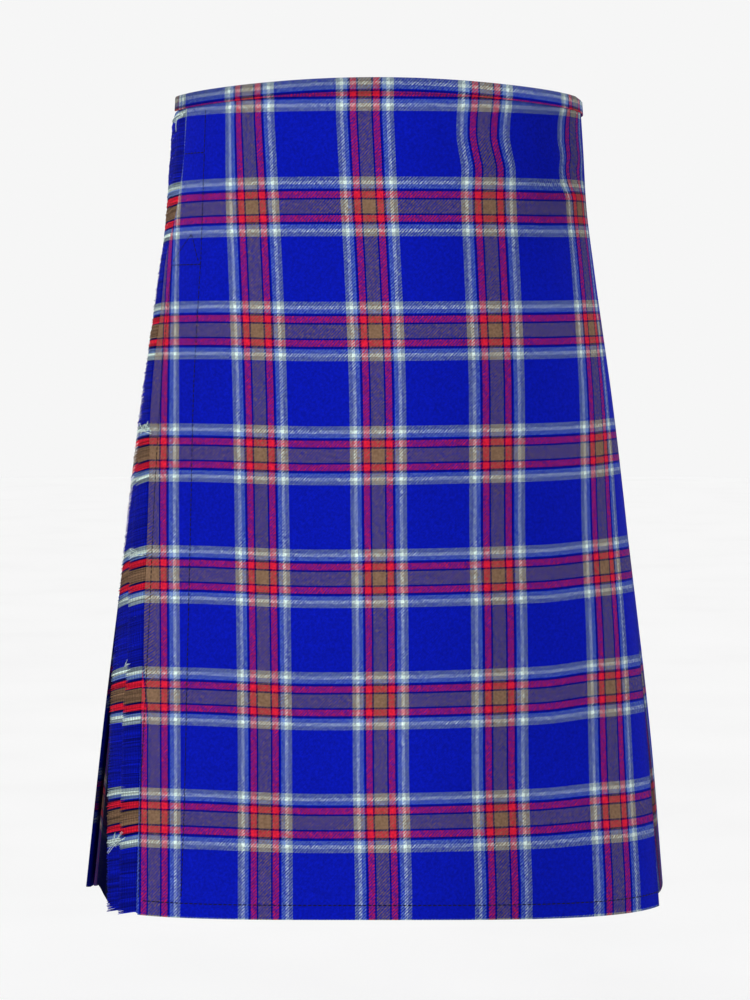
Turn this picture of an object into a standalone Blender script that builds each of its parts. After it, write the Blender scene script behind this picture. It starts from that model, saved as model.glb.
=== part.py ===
"""A wrapped tartan kilt, as worn, with its fringes, straps and buckles.

Metres, +Z up, the wearer faces -Y. The origin is the middle of the waist opening, where the wearer
holds the kilt up. Every piece is laid out on one form: a point has a place along the girth (from
the centre front, positive to the wearer's left), a height, and a distance out from the cloth's
outermost surface.
"""

import math
from collections import namedtuple

import bmesh
import bpy
import numpy as np

COLLECTION = "scottish_kilt"

# Driving sizes
HEM = -0.600
CLOTH = 0.0010
SEAM = 0.0003
PLEATS = 22
DEEP_UNDERLAP = 0.013
APRON_COLUMNS = 20
STACK_LAYERS = 6

# The worn form: superellipses, squarer in front where the apron hangs flat.
Section = namedtuple("Section", "height half_width front back front_square back_square")
SECTIONS = (
    Section(0.008, 0.1543, 0.101, 0.104, 2.35, 2.10),
    Section(-0.040, 0.1574, 0.104, 0.111, 2.55, 2.10),
    Section(-0.080, 0.1595, 0.106, 0.117, 2.75, 2.10),
    Section(-0.130, 0.1655, 0.110, 0.125, 2.95, 2.10),
    Section(-0.230, 0.1794, 0.119, 0.136, 3.20, 2.10),
    Section(-0.350, 0.1943, 0.129, 0.142, 3.35, 2.15),
    Section(-0.480, 0.2099, 0.139, 0.147, 3.50, 2.25),
    Section(HEM, 0.2223, 0.149, 0.152, 3.70, 2.30),
)

# Where the cloth's edges and folds lie along the girth. The edge of the over apron and the last
# pleat's fold are on the wearer's right, so they are measured round the other way. pitch is from one
# layer to the next, opening is how much wider the deep first pleat shows than the others, and sink
# is how far the layers behind the apron's fold stand back from it.
Lay = namedtuple("Lay", "height edge fold last_fold pitch opening sink")
LAYS = (
    Lay(0.008, 0.1555, 0.2115, 0.246, 0.0015, 0.000, 0.0028),
    Lay(-0.040, 0.1550, 0.2135, 0.248, 0.0015, 0.000, 0.0028),
    Lay(-0.080, 0.1610, 0.2155, 0.250, 0.0017, 0.000, 0.0015),
    Lay(-0.130, 0.1760, 0.2180, 0.254, 0.0019, 0.000, 0.0010),
    Lay(-0.230, 0.1760, 0.2220, 0.266, 0.0023, 0.002, 0.0010),
    Lay(-0.350, 0.1760, 0.2235, 0.280, 0.0026, 0.012, 0.0020),
    Lay(-0.480, 0.1760, 0.2250, 0.292, 0.0028, 0.035, 0.0060),
    Lay(HEM, 0.1760, 0.2270, 0.301, 0.0032, 0.078, 0.0140),
)
ROWS = tuple(section.height for section in SECTIONS)

# The top edge of the waistband
RIM_SIDE = -0.001
RIM_FRONT = 0.0086
RIM_BACK = 0.006
BAND_DEPTH = 0.0114
BAND_GAP = 0.0006

# The over apron's sewn hem and soft folds
HEM_TURN = 0.010
HEM_WALL = 2 * CLOTH
Fold = namedtuple("Fold", "along top bottom width depth lean")
APRON_FOLDS = (
    Fold(0.086, 0.000, -0.085, 0.016, 0.0016, 0.10),
    Fold(0.128, 0.000, -0.070, 0.014, 0.0014, 0.06),
    Fold(0.030, -0.015, -0.070, 0.016, 0.0009, 0.05),
    Fold(-0.128, -0.240, -0.430, 0.012, 0.0006, -0.01),
)

# The under apron lies inside the over apron
UNDER_OUT_WAIST = -0.0072
UNDER_OUT_HEM = -0.0100
UNDER_END = 0.150
UNDER_RAMP = 0.022
UNDER_COLUMNS = 17

# Fringes
LOCKS = 80
LOCK_SHARE = 0.74
LOCK_TAPER = 0.72
LOCK_DROOP = 0.28
LOCK_BEND = 0.016
FRINGE_WALL = 0.0008
FRINGE_TOP = -0.0120
FRINGE_END = 0.003
UPPER_STRIP = 0.0025
UPPER_SEAM = 0.0006
UPPER_REACH = 0.020
UNDER_STRIP_IN = 0.005
UNDER_STRIP_OUT = 0.016
UNDER_FRINGE_WAIST_OUT = -0.0023
UNDER_FRINGE_HEM_OUT = -0.0031
LIFT = 0.0018
LIFT_FROM = 0.022
LIFT_TO = 0.050
Reach = namedtuple("Reach", "height reach")
UNDER_REACH = (
    Reach(0.0, 0.070),
    Reach(-0.080, 0.066),
    Reach(-0.130, 0.053),
    Reach(-0.350, 0.051),
    Reach(-0.480, 0.042),
    Reach(HEM, 0.033),
)

# Straps and buckles
STRAP_WIDTH = 0.032
STRAP = 0.0020
STRAP_STEP = 0.006
TAB = 0.0012
TAB_WIDTH = 0.026
WIRE = 0.0014
PRONG = 0.0009
PRONG_BEND = 0.010
PRONG_END = 0.0020
FRAME_LENGTH = 0.027
FRAME_WIDTH = 0.0375
FRAME_CORNER = 0.005
KEEPER_WALL = 0.0010
KEEPER_WIDTH = 0.008
KEEPER_AT = 0.043
TAB_SEWN = 0.062
TAB_UPPER = 0.054
TIP_AT = 0.098
Fastening = namedtuple("Fastening", "name height way sewn_at")
FASTENINGS = (
    Fastening("waist", -0.029, -1, -0.132),
    Fastening("hip", -0.111, -1, -0.133),
    Fastening("left", -0.029, 1, 0.126),
)
BUCKLE_BEHIND_FOLD = 0.032
OVER_SEWN = SEAM + TAB + SEAM + KEEPER_WALL + SEAM + TAB + SEAM
OVER_TAB = SEAM + TAB + SEAM + 2 * WIRE + SEAM + 2 * PRONG + SEAM
STRAP_CLEAR = 0.0004
STRAP_RISE = 0.004
STRAP_RAMP = 0.016
STRAP_OUT = 0.005
TIP_LIFT = 0.0006
SHOULDER_SHARE = 0.36
TIP_SHARE = 0.10

# A strap's underside from the buckle's front bar to its tip, as runs and depths
OVER_BUCKLE = (
    (0.003, SEAM),
    (0.009, SEAM + TAB),
    (0.019, OVER_TAB),
    (0.028, OVER_TAB),
    (KEEPER_AT - KEEPER_WIDTH + 0.002, OVER_SEWN),
    (TAB_SEWN + 0.004, OVER_SEWN),
    (TAB_SEWN + 0.016, SEAM + TIP_LIFT),
    (TIP_AT, SEAM + TIP_LIFT),
)

# Slots: where each is centred, as a run and a depth, and its size
PRONG_SLOT = (0.0155, 0.0058)
PRONG_SLOT_SIZE = (0.0095, 0.012, 0.0038)
TAB_SLOT = (0.012, 0.012, 0.0034)

Look = namedtuple("Look", "color roughness metallic")
LOOKS = {
    "tartan": Look((0.010, 0.016, 0.36), 0.85, 0.0),
    "fringe": Look((0.35, 0.10, 0.16), 0.90, 0.0),
    "leather": Look((0.012, 0.010, 0.009), 0.45, 0.0),
    "nickel": Look((0.62, 0.60, 0.57), 0.25, 1.0),
}

PSI = np.linspace(0.0, 2.0 * math.pi, 1441)
LEVELS = np.arange(0.015, HEM - 0.010, -0.005)
LEAST_STEP = 1e-6


def column(table, name, height):
    """A table's column at these heights, straight between its rows."""
    heights = [-row.height for row in table]
    return np.interp(-np.asarray(height, float), heights, [getattr(row, name) for row in table])


def ring_point(psi, height):
    """The form's point, seen from its axis at the angle psi from the centre front."""
    side = np.sin(psi)
    ahead = np.cos(psi)
    front = ahead > 0
    wide = column(SECTIONS, "half_width", height)
    deep = np.where(front, column(SECTIONS, "front", height), column(SECTIONS, "back", height))
    square = np.where(
        front, column(SECTIONS, "front_square", height), column(SECTIONS, "back_square", height)
    )
    reach = (np.abs(side / wide) ** square + np.abs(ahead / deep) ** square) ** (-1 / square)
    x, y = reach * side, -reach * ahead
    nx = np.sign(x) * np.abs(x / wide) ** (square - 1) / wide
    ny = np.sign(y) * np.abs(y / deep) ** (square - 1) / deep
    size = np.hypot(nx, ny)
    return x, y, nx / size, ny / size


def measure_rings():
    rings = []
    for level in LEVELS:
        x, y, _, _ = ring_point(PSI, level)
        steps = np.hypot(np.diff(x), np.diff(y))
        rings.append(np.concatenate([[0.0], np.cumsum(steps)]))
    return rings


RINGS = measure_rings()


def girth(height):
    return np.interp(-np.asarray(height, float), -LEVELS, [ring[-1] for ring in RINGS])


def angle(along, height):
    """The angle psi of the places along the girth, read from the rings above and below."""
    along = np.asarray(along, float)
    at = np.clip((LEVELS[0] - height) / (LEVELS[0] - LEVELS[1]), 0, len(LEVELS) - 1.001)
    below = np.floor(at).astype(int)
    share = at - below
    psi = np.zeros_like(along)
    for step, weight in ((0, 1 - share), (1, share)):
        found = np.zeros_like(along)
        for index in np.unique(below):
            here = below == index
            ring = RINGS[index + step]
            found[here] = np.interp(np.mod(along[here], ring[-1]), ring, PSI)
        psi += weight * found
    return psi


def place(along, out, height):
    """World points for places along the girth, distances out and heights, of one shape."""
    along, out, height = np.broadcast_arrays(along, out, height)
    height = height.astype(float)
    x, y, nx, ny = ring_point(angle(along, height), height)
    return np.stack([x + out * nx, y + out * ny, height], axis=-1)


def rim(along):
    """The height of the top edge, raised at the centre front and the centre back."""
    turn = np.cos(2 * math.pi * np.asarray(along, float) / girth(0.0))
    return RIM_SIDE + np.where(turn > 0, RIM_FRONT, RIM_BACK) * turn**2


def cloth_top(along):
    return rim(along) - CLOTH - BAND_GAP


def lay_out(columns, rows=ROWS):
    """Places, depths and heights of a sheet. A column is a rule that gives its places and depths at
    some heights, and its first height is the cloth's top edge."""
    laid = []
    for rule in columns:
        height = np.array(rows)
        height[0] = cloth_top(rule(height)[0][0])
        laid.append((*rule(height), height))
    return [np.array(part).T for part in zip(*laid)]


def lay(name, height):
    return column(LAYS, name, height)


# Pleats. Fold number 0 is the over apron's, 1 to PLEATS are the pleats', from the wearer's left round
# the back to the right, and each lies on the next. A pleat's top layer comes out from under the fold
# before it, and its under layer goes back by UNDERLAP.
def reveal(height):
    """How much of a pleat shows between its fold and the one before it."""
    spare = girth(height) - lay("last_fold", height) - lay("fold", height) - lay("opening", height)
    return spare / PLEATS


UNDERLAP = float(2 * reveal(ROWS[0]))


def fold_at(number, height):
    opening = lay("opening", height) if number > 0 else 0.0
    return lay("fold", height) + opening + number * reveal(height)


def climb(along, height):
    """How far the shingled layers rise from the over apron's fold to this place."""
    start = fold_at(0, height)
    first = fold_at(1, height)
    step = 2 * lay("pitch", height)
    on_first = np.clip((along - start) / (first - start), 0, 1)
    on_rest = np.clip((along - first) / reveal(height), 0, PLEATS - 1)
    return step * (on_first + on_rest)


def set_back(along, height):
    """How far the layers near the over apron's fold stand back from it."""
    start = fold_at(0, height)
    first = fold_at(1, height)
    share = np.clip((first - along) / (first - start), 0, 1)
    return lay("sink", height) * share**2


def layer_out(number, along, height, layers_under=0):
    """The middle of a pleat's wall: its top layer, or the layers under that at the same fold."""
    fold_climb = climb(fold_at(number, height), height)
    below = fold_climb - climb(along, height) + layers_under * lay("pitch", height)
    return -CLOTH / 2 - below - set_back(along, height)


def behind(number, distance):
    """The place at this distance behind a fold, as a rule for any height."""
    return lambda height: fold_at(number, height) - distance


def on_deep_pleat(share):
    return lambda height: fold_at(0, height) + share * (fold_at(1, height) - fold_at(0, height))


DEEP_PLACES = [on_deep_pleat(share) for share in (0.25, 0.5, 0.75)]


def places_under(number):
    """The places behind a fold where the layers under it have columns, from their inner fold."""
    if number == 1:
        return [behind(0, DEEP_UNDERLAP), behind(0, 0.0), *DEEP_PLACES]
    return [behind(number, UNDERLAP), behind(number, UNDERLAP / 2)]


def layer(number, place_rule, layers_under=0):
    """A column of a pleat's top layer, or of a layer under it."""

    def rule(height):
        along = place_rule(height)
        return along, layer_out(number, along, height, layers_under)

    return rule


def pleat_columns(first, last):
    """The columns of the cloth through these pleats, from inner fold to inner fold."""
    columns = []
    for number in range(first, last + 1):
        top = [*places_under(number - 1), behind(number - 1, 0.0)]
        if number == 1:
            top += DEEP_PLACES
        under = [behind(number, 0.0), *reversed(places_under(number))]
        columns += [layer(number, place_rule) for place_rule in (*top, behind(number, 0.0))]
        columns += [layer(number, place_rule, 1) for place_rule in under]
    return columns


# Meshes
def collection():
    found = bpy.data.collections.get(COLLECTION)
    if found is None:
        found = bpy.data.collections.new(COLLECTION)
        bpy.context.scene.collection.children.link(found)
    return found


def material(name):
    found = bpy.data.materials.get(name)
    if found is None:
        look = LOOKS[name]
        found = bpy.data.materials.new(name)
        found.use_nodes = True
        shader = found.node_tree.nodes["Principled BSDF"]
        shader.inputs["Base Color"].default_value = (*look.color, 1.0)
        shader.inputs["Roughness"].default_value = look.roughness
        shader.inputs["Metallic"].default_value = look.metallic
        found.diffuse_color = (*look.color, 1.0)
    return found


def add_object(name, data, look):
    obj = bpy.data.objects.new(name, data)
    data.materials.append(material(look))
    collection().objects.link(obj)
    return obj


def surface(bm, points, along):
    """Triangles over a grid of points: rows go down and columns to the wearer's left, so they face
    out. Each quad is split along its steeper diagonal, which lies closest to the form, and a tie
    turns over with the cloth, so that layers nest."""
    verts = [[bm.verts.new(point) for point in row] for row in points]
    down_left = np.abs(along[1:, :-1] - along[:-1, 1:])
    down_right = np.abs(along[1:, 1:] - along[:-1, :-1])
    tie = np.where(np.diff(along, axis=1)[:-1] < 0, LEAST_STEP, -LEAST_STEP)
    splits = down_left < down_right + tie
    for upper, lower, row in zip(verts, verts[1:], splits):
        for left, to_left in enumerate(row):
            a, b, c, d = upper[left], lower[left], lower[left + 1], upper[left + 1]
            for corners in ((a, b, d), (b, c, d)) if to_left else ((a, b, c), (a, c, d)):
                bm.faces.new(corners)


def wall(name, bm, look, thickness, offset, weights=None):
    """An open surface given its thickness: offset 0 grows both ways and -1 grows inwards."""
    mesh = bpy.data.meshes.new(name)
    bm.to_mesh(mesh)
    bm.free()
    obj = add_object(name, mesh, look)
    solid = obj.modifiers.new("wall", "SOLIDIFY")
    solid.thickness = thickness
    solid.offset = offset
    solid.use_even_offset = True
    solid.use_quality_normals = True
    if weights is not None:
        group = obj.vertex_groups.new(name="wall")
        for index, weight in enumerate(weights):
            group.add([index], float(weight), "REPLACE")
        solid.vertex_group = group.name
    return obj


def sheet(name, along, out, heights, look="tartan", thickness=CLOTH, offset=0, weights=None):
    bm = bmesh.new()
    surface(bm, place(along, out, heights), along)
    return wall(name, bm, look, thickness, offset, weights)


# Cloth
def apron_folds(along, height):
    """The soft troughs of the over apron, as distances out."""
    out = np.zeros_like(along)
    for fold in APRON_FOLDS:
        down = np.clip((fold.top - height) / (fold.top - fold.bottom), 0, 1)
        centre = fold.along + fold.lean * (fold.top - height)
        across = (along - centre) / fold.width
        out -= fold.depth * np.exp(-(across**2)) * np.sin(math.pi * down) ** 2
    return out


def apron_column(share):
    """A column of the over apron's flat front, from its free edge to where its fold turns back."""

    def rule(height):
        edge = -lay("edge", height)
        along = edge + share * (fold_at(0, height) - UNDERLAP - edge)
        return along, apron_folds(along, height)

    return rule


def apron_fold_column(behind_fold, turned=False):
    def rule(height):
        along = fold_at(0, height) - behind_fold
        return along, -(lay("pitch", height) + CLOTH) if turned else np.zeros_like(along)

    return rule


APRON_SHARES = np.linspace(0, 1, APRON_COLUMNS + 1)


def make_over_apron():
    rows = ROWS[:-1] + (HEM + HEM_TURN + 0.5 * CLOTH, HEM + HEM_TURN, HEM)
    columns = [apron_column(share) for share in APRON_SHARES]
    columns += [apron_fold_column(UNDERLAP / 2), apron_fold_column(0.0)]
    flat = len(columns) - 1
    columns += [apron_fold_column(share * UNDERLAP, turned=True) for share in (0.0, 0.5, 1.0)]
    along, out, heights = lay_out(columns, rows)
    in_hem = (np.arange(len(rows)) >= len(rows) - 2)[:, None]
    free = (np.arange(len(columns)) < flat)[None, :]
    weights = np.where(in_hem & free, 1.0, CLOTH / HEM_WALL)
    sheet("over_apron", along, out, heights, "tartan", HEM_WALL, -1, weights.ravel())


def under_out(height):
    share = np.clip(np.asarray(height, float) / HEM, 0, 1)
    return UNDER_OUT_WAIST + share * (UNDER_OUT_HEM - UNDER_OUT_WAIST)


def under_column(share):
    """A column of the under apron, from where it has sunk behind the last fold to its edge."""

    def rule(height):
        start = UNDER_RAMP - lay("last_fold", height)
        return start + share * (UNDER_END - start), under_out(height)

    return rule


UNDER_SHARES = np.linspace(0, 1, UNDER_COLUMNS + 1)


def make_under_apron():
    hidden = [*places_under(PLEATS), behind(PLEATS, 0.0)]
    columns = [layer(PLEATS, place_rule, 2) for place_rule in hidden]
    columns += [under_column(share) for share in UNDER_SHARES]
    sheet("under_apron", *lay_out(columns))


def make_pleats():
    third = PLEATS // 3
    lengths = (("left", 1, third), ("centre", third + 1, 2 * third), ("right", 2 * third + 1, PLEATS))
    for name, first, last in lengths:
        sheet("pleats_" + name, *lay_out(pleat_columns(first, last)))


def band_stations():
    """Columns with the outer and inner depths of the cloth that the band is folded over there."""
    pitch = float(lay("pitch", 0.0))
    sink = float(lay("sink", 0.0))
    under = float(under_out(0.0))
    stations = [(apron_column(share), 0.0, -CLOTH) for share in APRON_SHARES[:-1]]
    for layers, behind_fold in ((2, UNDERLAP), (4, UNDERLAP / 2), (STACK_LAYERS, 0.0)):
        stations.append((apron_fold_column(behind_fold), 0.0, -(layers * pitch + CLOTH + sink)))
    for number in range(1, PLEATS + 1):
        past_fold = layer(number, behind(number, -CLOTH))
        stations.append((past_fold, 0.0, -(STACK_LAYERS * pitch + CLOTH)))
    for share in UNDER_SHARES:
        stations.append((under_column(share), under + CLOTH / 2, under - CLOTH / 2))
    return stations


def make_waistband():
    along, out, heights = [], [], []
    for rule, outer, inner in band_stations():
        top = rim(rule(np.zeros(1))[0])[0]
        height = np.array([top - BAND_DEPTH, top - CLOTH / 2, top - CLOTH / 2, top - BAND_DEPTH])
        inside = inner - BAND_GAP - CLOTH / 2
        outside = outer + BAND_GAP + CLOTH / 2
        along.append(rule(height)[0])
        out.append([inside, inside, outside, outside])
        heights.append(height)
    sheet("waistband", np.array(along).T, np.array(out).T, np.array(heights).T)


# Fringes: a comb, whose locks are its teeth. Places are given as distances past the apron's edge.
def make_fringe(name, strip, reach, out):
    bm = bmesh.new()
    top = FRINGE_TOP
    bottom = HEM + FRINGE_END
    pitch = (top - bottom) / LOCKS
    gap = pitch * (1 - LOCK_SHARE)

    def vert(past, level, height):
        along = -lay("edge", level) - past
        return bm.verts.new(place(np.array(along), out(past, level), np.array(height)))

    def strip_row(level):
        return [vert(past, level, level) for past in strip]

    upper = strip_row(top)
    for lock in range(LOCKS):
        start = top - lock * pitch
        levels = (start, start - pitch + gap)
        lower = strip_row(levels[1])
        for side in range(len(strip) - 1):
            bm.faces.new((upper[side + 1], lower[side + 1], lower[side], upper[side]))
        middle_level = sum(levels) / 2
        root = strip[-1]
        length = float(reach(middle_level)) - root
        steps = max(1, round(length / LOCK_BEND))
        last_pair = (upper[-1], lower[-1])
        for step in range(1, steps + 1):
            run = length * step / steps
            narrow = 1 - (1 - LOCK_TAPER) * step / steps
            pair = []
            for level in levels:
                height = middle_level + (level - middle_level) * narrow - LOCK_DROOP * run
                pair.append(vert(root + run, level, max(height, HEM)))
            bm.faces.new((pair[0], pair[1], last_pair[1], last_pair[0]))
            last_pair = tuple(pair)
        if lock == LOCKS - 1:
            break
        upper = strip_row(start - pitch)
        for side in range(len(strip) - 1):
            bm.faces.new((lower[side + 1], upper[side + 1], upper[side], lower[side]))
    wall(name, bm, "fringe", FRINGE_WALL, -1)


def under_fringe_out(past, height):
    """The strip lies inside the over apron, and its locks lift to the outermost surface."""
    down = np.clip(height / HEM, 0, 1)
    lift = LIFT * np.clip((past - LIFT_FROM) / (LIFT_TO - LIFT_FROM), 0, 1)
    return lift + UNDER_FRINGE_WAIST_OUT + down * (UNDER_FRINGE_HEM_OUT - UNDER_FRINGE_WAIST_OUT)


def make_fringes():
    make_fringe(
        "fringe_upper",
        (UPPER_SEAM, UPPER_SEAM + UPPER_STRIP),
        lambda height: UPPER_REACH,
        lambda past, height: 0.0,
    )
    middle = (UNDER_STRIP_OUT - UNDER_STRIP_IN) / 2
    make_fringe(
        "fringe_under",
        (-UNDER_STRIP_IN, middle, UNDER_STRIP_OUT),
        lambda height: column(UNDER_REACH, "reach", height),
        under_fringe_out,
    )


# Straps and buckles. A fastening's own run starts at the buckle's front bar and goes on towards the
# strap's tip; depths are measured out from the pleats' folds.
def strap_depths(item, bar):
    """Runs and depths of the underside of a strap, from its sewn end to its tip."""
    height = item.height
    start = (item.sewn_at - bar) * item.way
    if item.way < 0:
        fold = (-float(lay("last_fold", height)) - bar) * item.way
        hidden = float(under_out(height)) + CLOTH / 2 + SEAM + STRAP_CLEAR
        points = [(start, hidden), (fold - UNDER_RAMP, hidden), (fold - STRAP_OUT, SEAM)]
    else:
        edges = height + STRAP_WIDTH / 2 * np.array([1.0, 0.0, -1.0])
        fold = float(lay("fold", height)) - bar
        low = float(under_out(height)) + CLOTH / 2 + SEAM
        high = float(layer_out(1, fold_at(0, height), height)) + CLOTH / 2 + SEAM
        rise = fold - UNDERLAP - STRAP_RISE
        points = [(start, low), (rise - STRAP_RAMP, low), (rise, high)]
        points.append((float(fold_at(0, edges).min()) - bar - CLOTH, high))
        for place_rule in DEEP_PLACES:
            along = float(place_rule(height))
            above = float(layer_out(1, along, edges).max()) + CLOTH / 2 + SEAM
            points.append((along - bar, above))
        points.append((float(fold_at(1, edges).min()) - bar, SEAM))
    return points + list(OVER_BUCKLE)


def finer(path):
    """The runs and depths of a path, with no step along the girth over STRAP_STEP."""
    points = [path[0]]
    for start, end in zip(path, path[1:]):
        steps = max(1, math.ceil(abs(end[0] - start[0]) / STRAP_STEP))
        for step in range(1, steps + 1):
            share = step / steps
            points.append(tuple(low + share * (high - low) for low, high in zip(start, end)))
    return np.array(points).T


def make_strap(item, bar):
    run, depth = finer(strap_depths(item, bar))
    half = np.full_like(run, STRAP_WIDTH / 2)
    half[-2] = STRAP_WIDTH * SHOULDER_SHARE
    half[-1] = STRAP_WIDTH * TIP_SHARE
    rows = np.array([1.0, 0.0, -1.0])[:, None]
    along = np.broadcast_to(bar + item.way * run, (3, len(run)))
    heights = item.height + rows * half
    out = np.broadcast_to(depth + STRAP / 2, along.shape)
    if item.way < 0:
        along, heights, out = along[:, ::-1], heights[:, ::-1], out[:, ::-1]
    strap = sheet("strap_" + item.name, along, out, heights, "leather", STRAP)
    slot = cutter("slot_" + item.name, item, bar, PRONG_SLOT, PRONG_SLOT_SIZE)
    cut(strap, slot)


def cutter(name, item, bar, centre, size):
    """A box that cuts a slot, centred at a run and a depth of the fastening."""
    run, depth = centre
    along = np.array(bar + item.way * run)
    middle = place(along, depth, np.array(item.height))
    _, _, nx, ny = ring_point(angle(along, np.array(item.height)), np.array(item.height))
    bm = bmesh.new()
    bmesh.ops.create_cube(bm, size=1.0)
    mesh = bpy.data.meshes.new(name)
    bm.to_mesh(mesh)
    bm.free()
    box = bpy.data.objects.new(name, mesh)
    cutters = bpy.data.collections.get("cutters")
    if cutters is None:
        cutters = bpy.data.collections.new("cutters")
        bpy.context.scene.collection.children.link(cutters)
    cutters.objects.link(box)
    box.scale = size
    box.rotation_euler = (0.0, 0.0, math.atan2(float(nx), -float(ny)))
    box.location = middle
    box.hide_render = True
    box.display_type = "WIRE"
    return box


def cut(obj, tool):
    boolean = obj.modifiers.new("cut", "BOOLEAN")
    boolean.operation = "DIFFERENCE"
    boolean.object = tool


def make_tab(item, bar):
    """The leather that holds the buckle, folded round its back bar."""
    radius = WIRE + SEAM + TAB / 2
    lower = SEAM + TAB / 2
    centre = lower + radius
    path = [(TAB_SEWN, lower), (KEEPER_AT, lower), (FRAME_LENGTH + 0.004, lower)]
    for step in range(7):
        turn = -math.pi / 2 - math.pi * step / 6
        path.append((FRAME_LENGTH + radius * math.cos(turn), centre + radius * math.sin(turn)))
    upper = lower + TAB + 2 * SEAM + KEEPER_WALL
    path += [(KEEPER_AT - KEEPER_WIDTH, upper), (KEEPER_AT, upper), (TAB_UPPER, upper)]
    run, depth = finer(path)
    rows = np.array([1.0, 0.0, -1.0])[:, None] * TAB_WIDTH / 2
    along = np.broadcast_to(bar + item.way * run, (3, len(run)))
    heights = item.height + np.broadcast_to(rows, along.shape)
    out = np.broadcast_to(depth, along.shape)
    if item.way > 0:
        along, heights, out = along[:, ::-1], heights[:, ::-1], out[:, ::-1]
    tab = sheet("tab_" + item.name, along, out, heights, "leather", TAB)
    cut(tab, cutter("tab_slot_" + item.name, item, bar, (FRAME_LENGTH - 0.001, centre), TAB_SLOT))


def wire(name, item, bar, path, radius, closed):
    """A metal wire along runs, heights from the strap's middle, and depths."""
    points = np.array(path)
    height = item.height + points[:, 1]
    world = place(bar + item.way * points[:, 0], points[:, 2], height)
    curve = bpy.data.curves.new(name, "CURVE")
    curve.dimensions = "3D"
    curve.bevel_depth = radius
    curve.bevel_resolution = 2
    curve.use_fill_caps = not closed
    spline = curve.splines.new("POLY")
    spline.points.add(len(world) - 1)
    for point, co in zip(spline.points, world):
        point.co = (*co, 1.0)
    spline.use_cyclic_u = closed
    return add_object(name, curve, "nickel")


def make_buckle(item, bar):
    back = SEAM + TAB + SEAM + WIRE
    front = SEAM + STRAP + SEAM + WIRE

    def point(run, across):
        return (run, across, front + (back - front) * run / FRAME_LENGTH)

    path = []
    corners = ((1, 1, 0.0), (0, 1, 90.0), (0, -1, 180.0), (1, -1, 270.0))
    for at_back, side, start in corners:
        run = (FRAME_LENGTH - FRAME_CORNER) if at_back else FRAME_CORNER
        across = side * (FRAME_WIDTH / 2 - FRAME_CORNER)
        for step in range(4):
            turn = math.radians(start + 30 * step)
            path.append(
                point(run + FRAME_CORNER * math.cos(turn), across + FRAME_CORNER * math.sin(turn))
            )
    wire("frame_" + item.name, item, bar, path, WIRE, True)
    ring = WIRE + SEAM + PRONG
    hook = []
    for step in range(6):
        turn = math.radians(-60 + 30 * step)
        hook.append((FRAME_LENGTH + ring * math.cos(turn), 0.0, back + ring * math.sin(turn)))
    over = front + WIRE + SEAM + PRONG
    hook += [(PRONG_BEND, 0.0, over - SEAM), (-PRONG_END, 0.0, over)]
    wire("prong_" + item.name, item, bar, hook, PRONG, False)


def make_keeper(item, bar):
    """The leather loop round the strap, held between the two layers of the tab."""
    low = SEAM + TAB + SEAM + KEEPER_WALL / 2
    high = OVER_SEWN + STRAP + SEAM + KEEPER_WALL / 2
    half = STRAP_WIDTH / 2 + SEAM + KEEPER_WALL / 2
    ring = [(half, low), (half, high), (0.0, high), (-half, high), (-half, low), (0.0, low)]
    bm = bmesh.new()
    sides = []
    for run in (KEEPER_AT - KEEPER_WIDTH / 2, KEEPER_AT + KEEPER_WIDTH / 2):
        loop = []
        for across, depth in ring:
            point = place(np.array(bar + item.way * run), depth, np.array(item.height + across))
            loop.append(bm.verts.new(point))
        sides.append(loop)
    near, far = sides if item.way > 0 else sides[::-1]
    for index in range(len(ring)):
        after = (index + 1) % len(ring)
        bm.faces.new((near[index], near[after], far[after], far[index]))
    wall("keeper_" + item.name, bm, "leather", KEEPER_WALL, 0)


def make_fastenings():
    for item in FASTENINGS:
        fold = "last_fold" if item.way < 0 else "fold"
        bar = item.way * (float(lay(fold, item.height)) + BUCKLE_BEHIND_FOLD)
        make_strap(item, bar)
        make_tab(item, bar)
        make_buckle(item, bar)
        make_keeper(item, bar)


def clear_scene():
    for obj in list(bpy.data.objects):
        bpy.data.objects.remove(obj)


def main():
    clear_scene()
    make_over_apron()
    make_under_apron()
    make_pleats()
    make_waistband()
    make_fringes()
    make_fastenings()


main()
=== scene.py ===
"""Builds the looks of a wrapped tartan kilt: its cloth, fringes, stitching, straps and buckles.

Metres, +Z up, the wearer faces -Y. Cloth is laid out on one worn form: a point has a place along
the girth (from the centre front, positive to the wearer's left), a height, and a distance out from
the cloth's outermost surface.
"""

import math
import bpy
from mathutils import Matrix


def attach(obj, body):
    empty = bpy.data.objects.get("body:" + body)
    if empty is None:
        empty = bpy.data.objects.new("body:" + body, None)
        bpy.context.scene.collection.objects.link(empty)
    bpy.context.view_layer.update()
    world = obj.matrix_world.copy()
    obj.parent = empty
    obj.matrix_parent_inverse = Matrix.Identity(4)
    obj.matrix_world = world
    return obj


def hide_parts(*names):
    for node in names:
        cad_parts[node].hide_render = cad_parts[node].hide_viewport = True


bl_info = {
    "name": "Wrapped Tartan Kilt",
    "version": (1, 0, 0),
    "blender": (4, 5, 0),
    "location": "View3D > Sidebar > Kilt",
    "description": "Builds a wrapped tartan kilt with its fringes, straps, buckles and studio",
    "category": "Add Mesh",
}

from collections import namedtuple

import bpy
import numpy as np
from bpy.props import FloatProperty, FloatVectorProperty, IntProperty, PointerProperty
from bpy.types import Operator, Panel, PropertyGroup

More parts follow.
